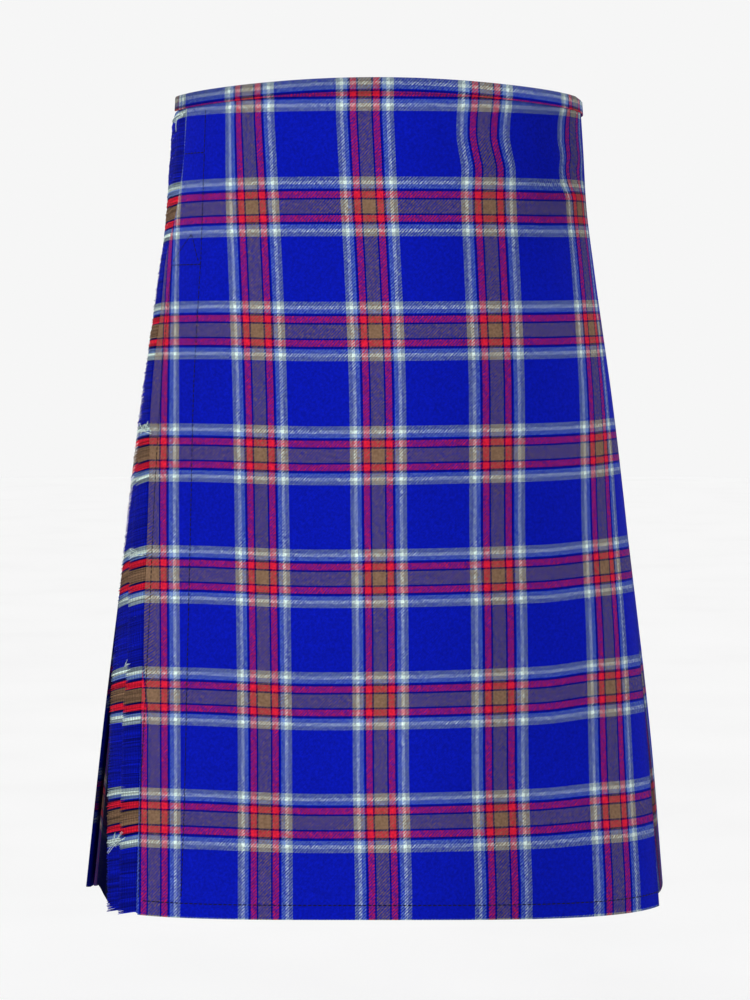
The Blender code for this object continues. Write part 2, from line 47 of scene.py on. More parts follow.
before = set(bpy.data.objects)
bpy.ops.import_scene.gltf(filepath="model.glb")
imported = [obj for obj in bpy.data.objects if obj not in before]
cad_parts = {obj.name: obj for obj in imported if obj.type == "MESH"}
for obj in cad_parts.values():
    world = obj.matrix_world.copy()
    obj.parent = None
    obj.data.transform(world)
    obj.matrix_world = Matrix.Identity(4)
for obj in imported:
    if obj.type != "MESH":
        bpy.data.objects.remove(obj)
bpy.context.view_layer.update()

# The worn form
HEM = -0.600
CLOTH = 0.0010
SEAM = 0.0003
PLEATS = 22
DEEP_UNDERLAP = 0.013
Section = namedtuple("Section", "height half_width front back front_square back_square")
SECTIONS = (
    Section(0.008, 0.1543, 0.101, 0.104, 2.35, 2.10),
    Section(-0.040, 0.1574, 0.104, 0.111, 2.55, 2.10),
    Section(-0.080, 0.1595, 0.106, 0.117, 2.75, 2.10),
    Section(-0.130, 0.1655, 0.110, 0.125, 2.95, 2.10),
    Section(-0.230, 0.1794, 0.119, 0.136, 3.20, 2.10),
    Section(-0.350, 0.1943, 0.129, 0.142, 3.35, 2.15),
    Section(-0.480, 0.2099, 0.139, 0.147, 3.50, 2.25),
    Section(HEM, 0.2223, 0.149, 0.152, 3.70, 2.30),
)
Lay = namedtuple("Lay", "height edge fold last_fold pitch opening sink")
LAYS = (
    Lay(0.008, 0.1555, 0.2115, 0.246, 0.0015, 0.000, 0.0028),
    Lay(-0.040, 0.1550, 0.2135, 0.248, 0.0015, 0.000, 0.0028),
    Lay(-0.080, 0.1610, 0.2155, 0.250, 0.0017, 0.000, 0.0015),
    Lay(-0.130, 0.1760, 0.2180, 0.254, 0.0019, 0.000, 0.0010),
    Lay(-0.230, 0.1760, 0.2220, 0.266, 0.0023, 0.002, 0.0010),
    Lay(-0.350, 0.1760, 0.2235, 0.280, 0.0026, 0.012, 0.0020),
    Lay(-0.480, 0.1760, 0.2250, 0.292, 0.0028, 0.035, 0.0060),
    Lay(HEM, 0.1760, 0.2270, 0.301, 0.0032, 0.078, 0.0140),
)

# Where the stripes of the pleats are matched, and where the pleats' sewing ends
HIP = -0.200
FELL = -0.210

# The last row of the cloth's grid before its top edge
LAST_ROW = -0.004

# The waistband's top edge and its cloth. The top edge lies BAND_LINE above the middle of a brown
# stripe, so that a white line shows on the band.
RIM_SIDE = -0.001
RIM_FRONT = 0.0086
RIM_BACK = 0.006
BAND_DEPTH = 0.0114
BAND_GAP = 0.0006
BAND_ROUND = 0.0022
BAND_OUTER_ROWS = (1.0, 0.75, 0.5, 0.25, 0.1)
BAND_INNER_ROWS = (0.2, 0.6, 1.0)
BAND_LINE = 0.0213
STACK_LAYERS = 6

# The waistband's end goes on past the over apron's edge, round its corner, from brown to white.
# The band's stripes are those of the cloth at BAND_STRIPES_AT.
BAND_PAST_EDGE = 0.0165
BAND_NEAR_EDGE = 0.002
BAND_STRIPES_AT = -0.012
BAND_CORNER_AT = (-0.1760, -0.1650, -0.1632, -0.1606)
BAND_CORNER = (-2.050, -1.945, -1.822, -1.800)

# The under apron inside the over apron, its hem's rise, and its shift by a part of a repeat
UNDER_OUT_WAIST = -0.0072
UNDER_OUT_HEM = -0.0100
UNDER_END = 0.150
UNDER_RAMP = 0.022
UNDER_LIFT_AT = (-0.305, -0.285, -0.270, -0.255, -0.245, -0.235, -0.225, -0.213)
UNDER_LIFT = (0.0, 0.0035, 0.0072, 0.0098, 0.0106, 0.0088, 0.0052, 0.0)
LIFT_HIGH = 0.040
UNDER_SHIFT = 0.5

# Soft troughs of the over apron, from their top to their bottom
Fold = namedtuple("Fold", "along top bottom width depth lean")
APRON_FOLDS = (
    Fold(0.086, 0.000, -0.085, 0.016, 0.0016, 0.10),
    Fold(0.128, 0.000, -0.070, 0.014, 0.0014, 0.06),
    Fold(0.030, -0.015, -0.070, 0.016, 0.0009, 0.05),
    Fold(0.094, -0.030, -0.082, 0.013, 0.0019, 1.10),
    Fold(0.146, -0.018, -0.078, 0.010, 0.0016, 0.35),
    Fold(0.052, -0.022, -0.066, 0.012, 0.0012, -0.60),
    Fold(-0.128, -0.240, -0.430, 0.012, 0.0006, -0.01),
)

# Beside column a, towards the fringe, the pattern is drawn out over this width, by these shares
# at these distances below the waist
SLACK_WIDTH = 0.012
SLACK_DOWN = (0.15, 0.19, 0.41, 0.46)
SLACK = (0.0, 0.5, 0.5, 0.0)

# How far the first pleat's stripes are shifted along it
FIRST_PLEAT_SHIFT = -0.032

# How far the cloth has shifted sideways below the waistband, near column d and near column e
SWAY_DOWN = (0.012, 0.024, 0.034, 0.046, 0.058, 0.066, 0.078, 0.095)
SWAY_NEAR = (0.0, -0.0016, -0.0022, -0.0004, 0.0017, 0.0012, 0.0003, 0.0)
SWAY_FAR = (0.0, -0.0036, -0.0040, -0.0020, -0.0058, -0.0050, 0.0006, 0.0)

# A ramp goes from 0 at its start to 1 at the end of its run, which may be negative
Ramp = namedtuple("Ramp", "start run")
SWAY_INNER = Ramp(0.020, 0.060)
SWAY_OUTER = Ramp(0.100, 0.050)
SWAY_FADE = Ramp(0.230, -0.040)

# Painted shade: how much the cloth's colour is darkened where it turns from the light or goes into a
# fold, and over which ramps
APRON_SHADE = 0.20
APRON_SHADE_ALONG = Ramp(0.010, 0.080)
WAIST_SHADE = 0.20
WAIST_SHADE_ALONG = Ramp(0.085, 0.040)
WAIST_SHADE_UP = Ramp(-0.150, 0.080)
FOLD_SHADE = 0.50
FOLD_SHADE_WIDTH = 0.012
FIRST_SHADE = 0.66
FIRST_SHADE_SHARE = Ramp(1.0, -0.45)
LAST_SHADE = 0.80
LAST_SHADE_WIDTH = 0.030
LAST_SHADE_REACH = 1.3
PLEAT_SHADE_DOWN = Ramp(-0.250, -0.100)
UNDER_SHADE_AT = (-0.310, -0.295, -0.275, -0.255)
UNDER_SHADE = (0.15, 0.55, 0.90, 0.965)
UNDER_SHADE_DOWN = Ramp(-0.200, -0.150)
BAND_SHADE = 0.18
BAND_SIDE_SHADE = 0.16
BAND_SHADE_ALONG = Ramp(0.110, 0.050)

# How many columns of the cloth's grid each stretch has
APRON_COLUMNS = 140
UNDER_COLUMNS = 70
FIRST_PLEAT_COLUMNS = 14
DEEP_COLUMNS = 8
PLEAT_COLUMNS = 6

# Where the pattern's brown stripes are centred on the cloth as worn: the vertical ones from the
# wearer's right at each height, and the level ones, with how far they rise along the girth.
# white is the white line beside the first stripe, at WHITE_AT of the way to the next one.
Stripes = namedtuple("Stripes", "height a white b c d e")
COLUMNS = (
    Stripes(-0.020, -0.1755, -0.1572, -0.0954, -0.0084, 0.0808, 0.1676),
    Stripes(-0.085, -0.1785, -0.1606, -0.0912, -0.0052, 0.0828, 0.1702),
    Stripes(-0.132, -0.1775, -0.1575, -0.0886, -0.0026, 0.0848, 0.1730),
    Stripes(-0.226, -0.1740, -0.1520, -0.0848, 0.0010, 0.0880, 0.1748),
    Stripes(-0.313, -0.1700, -0.1500, -0.0830, 0.0018, 0.0880, 0.1735),
    Stripes(-0.403, -0.1660, -0.1480, -0.0815, 0.0028, 0.0893, 0.1762),
    Stripes(-0.492, -0.1640, -0.1465, -0.0805, 0.0032, 0.0895, 0.1770),
    Stripes(-0.578, -0.1625, -0.1460, -0.0804, 0.0053, 0.0919, 0.1800),
)
WHITE_AT = 0.190
FIRST_STRIPE = -2
LEVELS_OF_ROWS = (0.0048, -0.0862, -0.1769, -0.2668, -0.3553, -0.4434, -0.5305, -0.6212)
RISE_AT = (-0.230, -0.176, -0.130, -0.041, 0.120, 0.165, 0.200, 0.230, 0.320)
RISES = (
    (0.0, 0.0, 0.0, 0.0, 0.0, 0.0, 0.0, 0.0, 0.0),
    (-0.0070, -0.0015, -0.0005, 0.0, -0.0001, 0.0010, 0.0015, 0.0015, 0.0),
    (-0.0050, 0.0008, 0.0014, 0.0, 0.0013, 0.0024, 0.0030, 0.0030, 0.0),
    (-0.0050, 0.0010, 0.0018, 0.0, 0.0023, 0.0038, 0.0050, 0.0050, 0.0),
    (-0.0050, 0.0010, 0.0021, 0.0, 0.0030, 0.0058, 0.0065, 0.0060, 0.0),
    (-0.0050, 0.0012, 0.0023, 0.0, 0.0036, 0.0072, 0.0070, 0.0060, 0.0),
    (-0.0040, 0.0012, 0.0021, 0.0, 0.0031, 0.0049, 0.0041, 0.0040, 0.0),
    (0.0, 0.0, 0.0, 0.0, 0.0, 0.0, 0.0, 0.0, 0.0),
)

PSI = np.linspace(0.0, 2.0 * math.pi, 1441)
LEVELS = np.arange(0.015, HEM - 0.010, -0.005)


def curve_through(at, values, x):
    """A smooth curve through points, which never swings past them."""
    at = np.asarray(at, float)
    values = np.asarray(values, float)
    steps = np.diff(at)
    rises = np.diff(values) / steps
    slopes = np.concatenate([rises[:1], np.zeros(len(at) - 2), rises[-1:]])
    same = rises[:-1] * rises[1:] > 0
    both = np.where(same, rises[:-1] * rises[1:], 0.0)
    slopes[1:-1] = np.where(same, 2 * both / np.where(same, rises[:-1] + rises[1:], 1.0), 0.0)
    x = np.clip(np.asarray(x, float), at[0], at[-1])
    left = np.clip(np.searchsorted(at, x, side="right") - 1, 0, len(at) - 2)
    t = (x - at[left]) / steps[left]
    start, end = values[left], values[left + 1]
    lift = steps[left] * ((1 - t) ** 2 * t * slopes[left] - (1 - t) * t**2 * slopes[left + 1])
    return start + (end - start) * t * t * (3 - 2 * t) + lift


def ramp(value, start, run):
    """How far a value is through a run, from 0 at its start to 1 at its end."""
    return np.clip((value - start) / run, 0, 1)


def column(table, name, height):
    heights = [-row.height for row in table]
    return curve_through(heights, [getattr(row, name) for row in table], -np.asarray(height, float))


def ring_point(psi, height):
    """The form's point, seen from its axis at the angle psi from the centre front."""
    side = np.sin(psi)
    ahead = np.cos(psi)
    front = ahead > 0
    wide = column(SECTIONS, "half_width", height)
    deep = np.where(front, column(SECTIONS, "front", height), column(SECTIONS, "back", height))
    square = np.where(
        front, column(SECTIONS, "front_square", height), column(SECTIONS, "back_square", height)
    )
    reach = (np.abs(side / wide) ** square + np.abs(ahead / deep) ** square) ** (-1 / square)
    x, y = reach * side, -reach * ahead
    nx = np.sign(x) * np.abs(x / wide) ** (square - 1) / wide
    ny = np.sign(y) * np.abs(y / deep) ** (square - 1) / deep
    size = np.hypot(nx, ny)
    return x, y, nx / size, ny / size


def measure_rings():
    """Distances round the form at each level, over three turns, so that a place may pass its ends."""
    rings = []
    for level in LEVELS:
        x, y, _, _ = ring_point(PSI, np.full_like(PSI, level))
        once = np.concatenate([[0.0], np.cumsum(np.hypot(np.diff(x), np.diff(y)))])
        rings.append(np.concatenate([once[:-1] - once[-1], once[:-1], once + once[-1]]))
    return rings


RINGS = measure_rings()
TURNS = np.concatenate([PSI[:-1] - 2 * math.pi, PSI[:-1], PSI + 2 * math.pi])


def girth(height):
    return np.interp(-np.asarray(height, float), -LEVELS, [-ring[0] for ring in RINGS])


def angle(along, height):
    """The angle psi of the places along the girth, read from the rings above and below."""
    along = np.asarray(along, float)
    at = np.clip((LEVELS[0] - height) / (LEVELS[0] - LEVELS[1]), 0, len(LEVELS) - 1.001)
    below = np.floor(at).astype(int)
    share = at - below
    psi = np.zeros_like(along)
    for step, weight in ((0, 1 - share), (1, share)):
        found = np.zeros_like(along)
        for index in np.unique(below):
            here = below == index
            found[here] = np.interp(along[here], RINGS[index + step], TURNS)
        psi += weight * found
    return psi


def place(along, out, height):
    """World points for places along the girth, distances out and heights."""
    along, out, height = np.broadcast_arrays(along, out, height)
    height = height.astype(float)
    x, y, nx, ny = ring_point(angle(along, height), height)
    return np.stack([x + out * nx, y + out * ny, height], axis=-1)


def lay(name, height):
    return column(LAYS, name, height)


def rim(along):
    turn = np.cos(2 * math.pi * np.asarray(along, float) / girth(0.0))
    return RIM_SIDE + np.where(turn > 0, RIM_FRONT, RIM_BACK) * turn**2


def cloth_top(along):
    return rim(along) - CLOTH - BAND_GAP


def sway(along, height):
    """How far the cloth under the waistband has shifted sideways, at the wearer's left front."""
    near = curve_through(SWAY_DOWN, SWAY_NEAR, -height)
    far = curve_through(SWAY_DOWN, SWAY_FAR, -height)
    inner = ramp(along, *SWAY_INNER)
    outer = ramp(along, *SWAY_OUTER)
    return ramp(along, *SWAY_FADE) * inner * (near + outer * (far - near))


# The pattern's own coordinates, in repeats, with a brown stripe centred on every whole number
def warp_at(along, height, sett):
    along = along - sway(along, height)
    centres = [column(COLUMNS, name, height) for name in COLUMNS[0]._fields[1:]]
    shares = (WHITE_AT, 1 - WHITE_AT, 1.0, 1.0, 1.0)
    count = FIRST_STRIPE + np.minimum(0, (along - centres[0]) / sett)
    count = count + np.maximum(0, (along - centres[-1]) / sett)
    slack = curve_through(SLACK_DOWN, SLACK, -height)
    count = count + slack * ramp(along, centres[0], -SLACK_WIDTH) * SLACK_WIDTH / sett
    for low, high, share in zip(centres, centres[1:], shares):
        count = count + share * ramp(along, low, high - low)
    return count


def weft_at(along, height):
    rows = [
        level + curve_through(RISE_AT, rises, along) for level, rises in zip(LEVELS_OF_ROWS, RISES)
    ]
    count = np.minimum(0, (rows[0] - height) / (rows[0] - rows[1]))
    count = count + np.maximum(0, (rows[-1] - height) / (rows[-2] - rows[-1]))
    for high, low in zip(rows, rows[1:]):
        count = count + ramp(height, high, low - high)
    return count


# Pleats: fold 0 is the over apron's, and 1 to PLEATS go round the back, each lying on the next.
def reveal(height):
    spare = girth(height) - lay("last_fold", height) - lay("fold", height) - lay("opening", height)
    return spare / PLEATS


UNDERLAP = float(2 * reveal(np.array(LAYS[0].height)))


def fold_at(number, height):
    opening = lay("opening", height) if number > 0 else 0.0
    return lay("fold", height) + opening + number * reveal(height)


def climb(along, height):
    """How far the pleats' layers have built up by a place, on the way from the first fold."""
    start = fold_at(0, height)
    first = fold_at(1, height)
    step = 2 * lay("pitch", height)
    on_first = ramp(along, start, first - start)
    on_rest = np.clip((along - first) / reveal(height), 0, PLEATS - 1)
    return step * (on_first + on_rest)


def set_back(along, height):
    start = fold_at(0, height)
    first = fold_at(1, height)
    return lay("sink", height) * ramp(along, first, start - first) ** 2


def layer_out(number, along, height, layers_under=0):
    fold_climb = climb(fold_at(number, height), height)
    below = fold_climb - climb(along, height) + layers_under * lay("pitch", height)
    return -CLOTH / 2 - below - set_back(along, height)


def under_out(height):
    down = ramp(np.asarray(height, float), 0.0, HEM)
    return UNDER_OUT_WAIST + down * (UNDER_OUT_HEM - UNDER_OUT_WAIST)


def apron_relief(along, height):
    out = np.zeros_like(along)
    for fold in APRON_FOLDS:
        down = ramp(height, fold.top, fold.bottom - fold.top)
        centre = fold.along + fold.lean * (fold.top - height)
        across = (along - centre) / fold.width
        out -= fold.depth * np.exp(-(across**2)) * np.sin(math.pi * down) ** 2
    return out


# Settings
def size(name, text, default, unit="LENGTH"):
    return FloatProperty(name=name, description=text, default=default, unit=unit, precision=5)


def colour(name, text, default):
    return FloatVectorProperty(
        name=name, description=text, default=default, subtype="COLOR_GAMMA", min=0, max=1, size=3
    )


class KiltPattern(PropertyGroup):
    warp_sett: size("Warp repeat", "Width of one repeat of the vertical stripes", 0.0865)
    weft_sett: size("Weft repeat", "Height of one repeat of the level stripes", 0.0885)
    yarn: size("Yarn pitch", "From one yarn of the twill to the next", 0.00056)
    ground: colour("Ground", "Royal blue ground", (0.040, 0.105, 0.690))
    pale_blue: colour("Pale blue", "Line inside the white one", (0.443, 0.550, 0.780))
    white: colour("White", "White line", (0.890, 0.965, 0.937))
    sage: colour("Sage", "Line outside the white one", (0.553, 0.620, 0.663))
    navy: colour("Navy", "Thin lines beside the red", (0.045, 0.035, 0.330))
    red: colour("Red", "Red lines", (0.880, 0.130, 0.245))
    brown: colour("Brown", "Middle of the stripe", (0.520, 0.410, 0.322))


class KiltCloth(PropertyGroup):
    step: size("Grid step", "Distance between the cloth's grid lines", 0.0030)
    hem_turn: size("Hem", "Depth of the over apron's sewn hem", 0.0100)
    thread: colour("Thread", "Sewing thread", (0.035, 0.030, 0.120))


class KiltFringe(PropertyGroup):
    threads: IntProperty(name="Threads", description="Threads in each fringe", default=780)
    droop: size("Droop", "Share of the usual fall of the threads", 1.0, "NONE")


class KiltTrim(PropertyGroup):
    leather: colour("Leather", "Strap leather", (0.110, 0.100, 0.095))
    metal: colour("Metal", "Buckle plate", (0.800, 0.790, 0.770))


class KiltStudio(PropertyGroup):
    backdrop: colour("Backdrop", "Floor and surroundings", (0.990, 0.990, 0.990))
    lamp: size("Lamp", "Strength of the soft lamps", 5.0, "NONE")
    glow: size("Floor glow", "Light that the pale floor gives off by itself", 0.038, "NONE")


# Materials. Colours are given as a screen shows them, and go to the light's own values at the end.
SCREEN_GAMMA = 2.2
TWILL_STEP = 0.25
TWILL_OVER = 0.49
FLECK = 0.56
FLECK_ACROSS = 0.34
FLECK_ALONG = 0.15
SHEEN = 0.07
# The near-black blue that painted shade mixes into the cloth's colour
PAINTED_SHADOW_COLOUR = (0.0006, 0.0008, 0.0060, 1.0)


class Nodes:
    """A material's node tree, built one node at a time."""

    def __init__(self, name, roughness, metallic=0.0, specular=0.5):
        self.material = bpy.data.materials.new(name)
        self.material.use_nodes = True
        self.tree = self.material.node_tree
        self.shader = self.tree.nodes["Principled BSDF"]
        self.shader.inputs["Roughness"].default_value = roughness
        self.shader.inputs["Metallic"].default_value = metallic
        self.shader.inputs["Specular IOR Level"].default_value = specular

    def add(self, kind, inputs=(), output=0, **settings):
        node = self.tree.nodes.new("ShaderNode" + kind)
        for name, value in settings.items():
            setattr(node, name, value)
        for key, value in dict(inputs).items():
            self.feed(node, key, value)
        return node.outputs[output]

    def feed(self, node, key, value):
        if isinstance(value, bpy.types.NodeSocket):
            self.tree.links.new(value, node.inputs[key])
        else:
            node.inputs[key].default_value = value

    def math(self, operation, *values):
        return self.add("Math", dict(enumerate(values)), operation=operation)

    def times(self, first, second):
        return self.math("MULTIPLY", first, second)

    def mix(self, factor, first, second, blend="MIX"):
        return self.add(
            "Mix", {0: factor, 6: first, 7: second}, output=2, data_type="RGBA", blend_type=blend
        )

    def ramp(self, factor, stops, interpolation="LINEAR"):
        """A colour ramp through (position, colour) stops."""
        node = self.tree.nodes.new("ShaderNodeValToRGB")
        node.color_ramp.interpolation = interpolation
        elements = node.color_ramp.elements
        while len(elements) < len(stops):
            elements.new(1.0)
        for element, (position, value) in zip(elements, stops):
            element.position = position
            element.color = (*value, 1.0)
        self.feed(node, 0, factor)
        return node.outputs[0]

    def noise(self, vector, scale, detail=2.0, roughness=0.5):
        inputs = {"Vector": vector, "Scale": scale, "Detail": detail, "Roughness": roughness}
        return self.add("TexNoise", inputs)

    def spread(self, value, low, high):
        """A value from 0 to 1 as one from low to high."""
        return self.add("MapRange", {0: value, 3: low, 4: high})

    def bump(self, height, distance, strength=1.0, normal=None):
        inputs = {"Height": height, "Distance": distance, "Strength": strength}
        if normal is not None:
            inputs["Normal"] = normal
        return self.add("Bump", inputs)

    def object_places(self):
        return self.add("TexCoord", output=3)

    def cloth_places(self):
        """The two numbers that the cloth map holds at each place."""
        places = self.add("SeparateXYZ", {0: self.add("UVMap", uv_map="cloth")})
        return places, places.node.outputs[1]

    def lit(self, colour):
        return self.add("Gamma", {0: colour, 1: SCREEN_GAMMA})

    def shaded(self, colour, shade):
        grey = self.add("CombineColor", {0: shade, 1: shade, 2: shade})
        return self.lit(self.mix(1.0, colour, grey, "MULTIPLY"))

    def rounded(self, count):
        """The round of a yarn's back, from a count of yarns."""
        return self.math("SINE", self.times(self.math("FRACT", count), math.pi))

    def finish(self, **inputs):
        for key, value in inputs.items():
            self.feed(self.shader, key.replace("_", " "), value)
        return self.material


def material(name):
    """Makes a function build its material at the first call, and find it by its name after that."""

    def wrap(build):
        return lambda: bpy.data.materials.get(name) or build(name)

    return wrap


def toned(value, share):
    return tuple(share * part for part in value)


def stripe_stops(pattern):
    """The stripes from the middle of the brown one to halfway to the next, as shares of that."""
    half = pattern.warp_sett * 500
    edges = (
        (0.0, pattern.brown),
        (4.7, pattern.navy),
        (6.0, pattern.red),
        (10.4, pattern.navy),
        (11.8, pattern.ground),
        (12.4, pattern.pale_blue),
        (15.3, pattern.white),
        (17.7, pattern.sage),
        (20.6, pattern.ground),
    )
    return [(at / half, tuple(value)) for at, value in edges]


def yarn_colour(nodes, coordinate, pattern):
    inside = nodes.times(nodes.math("PINGPONG", coordinate, 0.5), 2.0)
    return nodes.ramp(inside, stripe_stops(pattern), "CONSTANT")


@material("tartan_twill")
def tartan(name):
    """Twill cloth: two sets of striped yarns, two over and two under, in the cloth's own places."""
    pattern = bpy.context.scene.kilt_pattern
    nodes = Nodes(name, 0.86)
    across, down = nodes.cloth_places()
    warp = yarn_colour(nodes, across, pattern)
    weft = yarn_colour(nodes, down, pattern)
    ends = nodes.times(across, pattern.warp_sett / pattern.yarn)
    picks = nodes.times(down, pattern.weft_sett / pattern.yarn)
    count = nodes.math("ADD", nodes.math("FLOOR", ends), nodes.math("FLOOR", picks))
    over = nodes.math("LESS_THAN", nodes.math("FRACT", nodes.times(count, TWILL_STEP)), TWILL_OVER)
    where = nodes.object_places()
    slant = nodes.times(nodes.math("ADD", ends, picks), FLECK_ACROSS)
    run = nodes.times(nodes.math("SUBTRACT", ends, picks), FLECK_ALONG)
    fleck = nodes.noise(nodes.add("CombineXYZ", {0: slant, 1: run}), 1.0, 1.0)
    fleck = nodes.spread(fleck, -FLECK, FLECK)
    soft = nodes.math("ADD", nodes.spread(over, 0.27, 0.73), fleck)
    # Painted shade: where warp and weft differ in colour, the mix is darkened a little, for the shade
    # that falls on the paler yarns of the twill
    contrast = nodes.add("RGBToBW", {0: nodes.mix(1.0, warp, weft, "DIFFERENCE")})
    fuzz = nodes.noise(where, 560.0, 2.0, 0.6)
    broad = nodes.noise(where, 9.0, 3.0, 0.5)
    shade = nodes.times(nodes.spread(fuzz, 0.74, 1.26), nodes.spread(broad, 0.95, 1.05))
    shade = nodes.times(shade, nodes.spread(contrast, 1.0, 0.86))
    base = nodes.shaded(nodes.mix(soft, weft, warp), shade)
    # Painted shade: a value stored on each sheet mixes the colour towards near-black blue and takes
    # away the specular, for the shadow in deep folds and where the cloth turns from the light
    dark = nodes.add("Attribute", output=2, attribute_name="painted_fold_shade")
    base = nodes.mix(dark, base, PAINTED_SHADOW_COLOUR)
    sheen = nodes.times(nodes.math("SUBTRACT", 1.0, dark), SHEEN)
    backs = {0: over, 2: nodes.rounded(picks), 3: nodes.rounded(ends)}
    weave = nodes.bump(nodes.add("Mix", backs, data_type="FLOAT"), 0.00022, 0.6)
    wrinkle = nodes.bump(nodes.noise(where, 38.0, 4.0, 0.55), 0.0011, 0.30, weave)
    return nodes.finish(Base_Color=base, Specular_IOR_Level=sheen, Normal=wrinkle)


@material("loose_yarn")
def fringe_yarn(name):
    """Loose weft yarns: each keeps the colour that it has in the cloth."""
    nodes = Nodes(name, 0.92, specular=0.08)
    tone, down = nodes.cloth_places()
    yarn = yarn_colour(nodes, down, bpy.context.scene.kilt_pattern)
    where = nodes.object_places()
    fuzz = nodes.noise(where, 700.0, 3.0, 0.7)
    crimp = nodes.add("TexWave", {"Vector": where, "Scale": 250.0, "Distortion": 3.0}, output=1)
    shade = nodes.times(tone, nodes.spread(fuzz, 0.75, 1.25))
    shade = nodes.times(shade, nodes.spread(crimp, 0.80, 1.10))
    return nodes.finish(Base_Color=nodes.shaded(yarn, shade), Normal=nodes.bump(fuzz, 0.0004, 0.5))


@material("sewing_thread")
def sewing_thread(name):
    tone = bpy.context.scene.kilt_cloth.thread
    nodes = Nodes(name, 0.7, specular=0.2)
    twist = nodes.noise(nodes.object_places(), 1500.0, 2.0)
    base = nodes.ramp(twist, [(0.3, toned(tone, 0.6)), (0.7, tone)])
    return nodes.finish(Base_Color=nodes.lit(base))


@material("black_strap_leather")
def strap_leather(name):
    """Black strap leather with a fine pebbled grain and paler rubbed patches."""
    tone = bpy.context.scene.kilt_trim.leather
    nodes = Nodes(name, 0.45, specular=0.4)
    where = nodes.object_places()
    rub = nodes.noise(where, 60.0, 5.0, 0.6)
    pebbles = nodes.add("TexVoronoi", {"Vector": where, "Scale": 1400.0}, feature="SMOOTH_F1")
    grain = nodes.bump(pebbles, 0.00025, 0.5)
    return nodes.finish(
        Base_Color=nodes.lit(nodes.ramp(rub, [(0.35, tone), (0.75, toned(tone, 1.7))])),
        Roughness=nodes.spread(rub, 0.36, 0.60),
        Normal=nodes.bump(rub, 0.0006, 0.25, grain),
    )


@material("nickel_plate")
def buckle_metal(name):
    """Nickel plate with fine scratches and a little tarnish."""
    tone = bpy.context.scene.kilt_trim.metal
    nodes = Nodes(name, 0.25, metallic=1.0)
    where = nodes.object_places()
    stretched = nodes.add("Mapping", {0: where, "Scale": (1.0, 1.0, 14.0)})
    scratch = nodes.noise(stretched, 420.0, 4.0, 0.7)
    tarnish = nodes.noise(where, 120.0, 4.0, 0.6)
    return nodes.finish(
        Base_Color=nodes.lit(nodes.ramp(tarnish, [(0.3, toned(tone, 0.82)), (0.65, tone)])),
        Roughness=nodes.spread(scratch, 0.14, 0.38),
        Normal=nodes.bump(scratch, 0.00008, 0.3),
    )


# Making pieces
def deselect():
    if bpy.context.object and bpy.context.object.mode != "OBJECT":
        bpy.ops.object.mode_set(mode="OBJECT")
    bpy.ops.object.select_all(action="DESELECT")


def pick(obj):
    deselect()
    obj.select_set(True)
    bpy.context.view_layer.objects.active = obj


def add_object(name, data):
    obj = bpy.data.objects.new(name, data)
    bpy.context.scene.collection.objects.link(obj)
    return obj


def mesh_object(name, verts, faces):
    mesh = bpy.data.meshes.new(name)
    mesh.from_pydata(verts.tolist(), [], faces)
    mesh.update()
    mesh.shade_smooth()
    return add_object(name, mesh)


def smooth_below(degrees):
    bpy.ops.object.shade_smooth_by_angle(angle=math.radians(degrees))


def dress(obj, name, look):
    obj.name = name
    obj.data.name = name
    obj.data.materials.clear()
    obj.data.materials.append(look)
    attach(obj, "root")
    return obj


def write_map(mesh, across, down):
    layer = mesh.uv_layers.get("cloth") or mesh.uv_layers.new(name="cloth")
    corners = np.empty(len(mesh.loops), np.int32)
    mesh.loops.foreach_get("vertex_index", corners)
    values = np.stack([across.ravel()[corners], down.ravel()[corners]], axis=-1)
    layer.data.foreach_set("uv", values.astype(np.float32).ravel())


def write_painted_shade(mesh, values):
    """How much painted shade, as of a fold or of cloth turned from the light, darkens the cloth's
    colour, from 0 to 1, at each point of the sheet.
    """
    layer = mesh.attributes.new("painted_fold_shade", "FLOAT", "POINT")
    layer.data.foreach_set("value", values.astype(np.float32).ravel())


def cloth_piece(
    name, along, out, height, across, down, thickness=CLOTH, offset=0.0, weights=None, shade=None
):
    """A sheet of cloth over arrays of places, whose rows go up and columns to the wearer's left."""
    along, out, height, across, down = np.broadcast_arrays(along, out, height, across, down)
    rows, columns = along.shape
    deselect()
    bpy.ops.mesh.primitive_grid_add(x_subdivisions=columns - 1, y_subdivisions=rows - 1, size=1.0)
    obj = bpy.context.object
    mesh = obj.data
    if len(mesh.vertices) != along.size:
        raise RuntimeError(name + ": the grid isn't the size of the cloth")
    mesh.vertices.foreach_set("co", place(along, out, height).astype(np.float32).ravel())
    for layer in list(mesh.uv_layers):
        mesh.uv_layers.remove(layer)
    write_map(mesh, across, down)
    # shade, when given, is painted shade that darkens the cloth's colour
    if shade is not None:
        write_painted_shade(mesh, shade)
    mesh.update()
    if weights is not None:
        group = obj.vertex_groups.new(name="wall")
        flat = np.asarray(weights).ravel()
        for value in np.unique(flat):
            group.add(np.nonzero(flat == value)[0].tolist(), float(value), "REPLACE")
    wall = obj.modifiers.new("wall", "SOLIDIFY")
    wall.thickness = thickness
    wall.offset = offset
    wall.use_even_offset = weights is None
    if weights is not None:
        wall.vertex_group = "wall"
    pick(obj)
    bpy.ops.object.modifier_apply(modifier="wall")
    smooth_below(50)
    return dress(obj, name, tartan())


def laid(rules, heights):
    """Places, depths and heights of cloth whose columns are rules. The last row is its top edge."""
    along, out, level = [], [], []
    for rule in rules:
        rows = np.array(heights, float)
        rows[-1] = cloth_top(rule(rows[-1:])[0])[0]
        rows[-2] = 0.5 * (rows[-1] + rows[-3])
        places, depths = rule(rows)
        along.append(np.broadcast_to(places, rows.shape))
        out.append(np.broadcast_to(depths, rows.shape))
        level.append(rows)
    return [np.array(part).T for part in (along, out, level)]


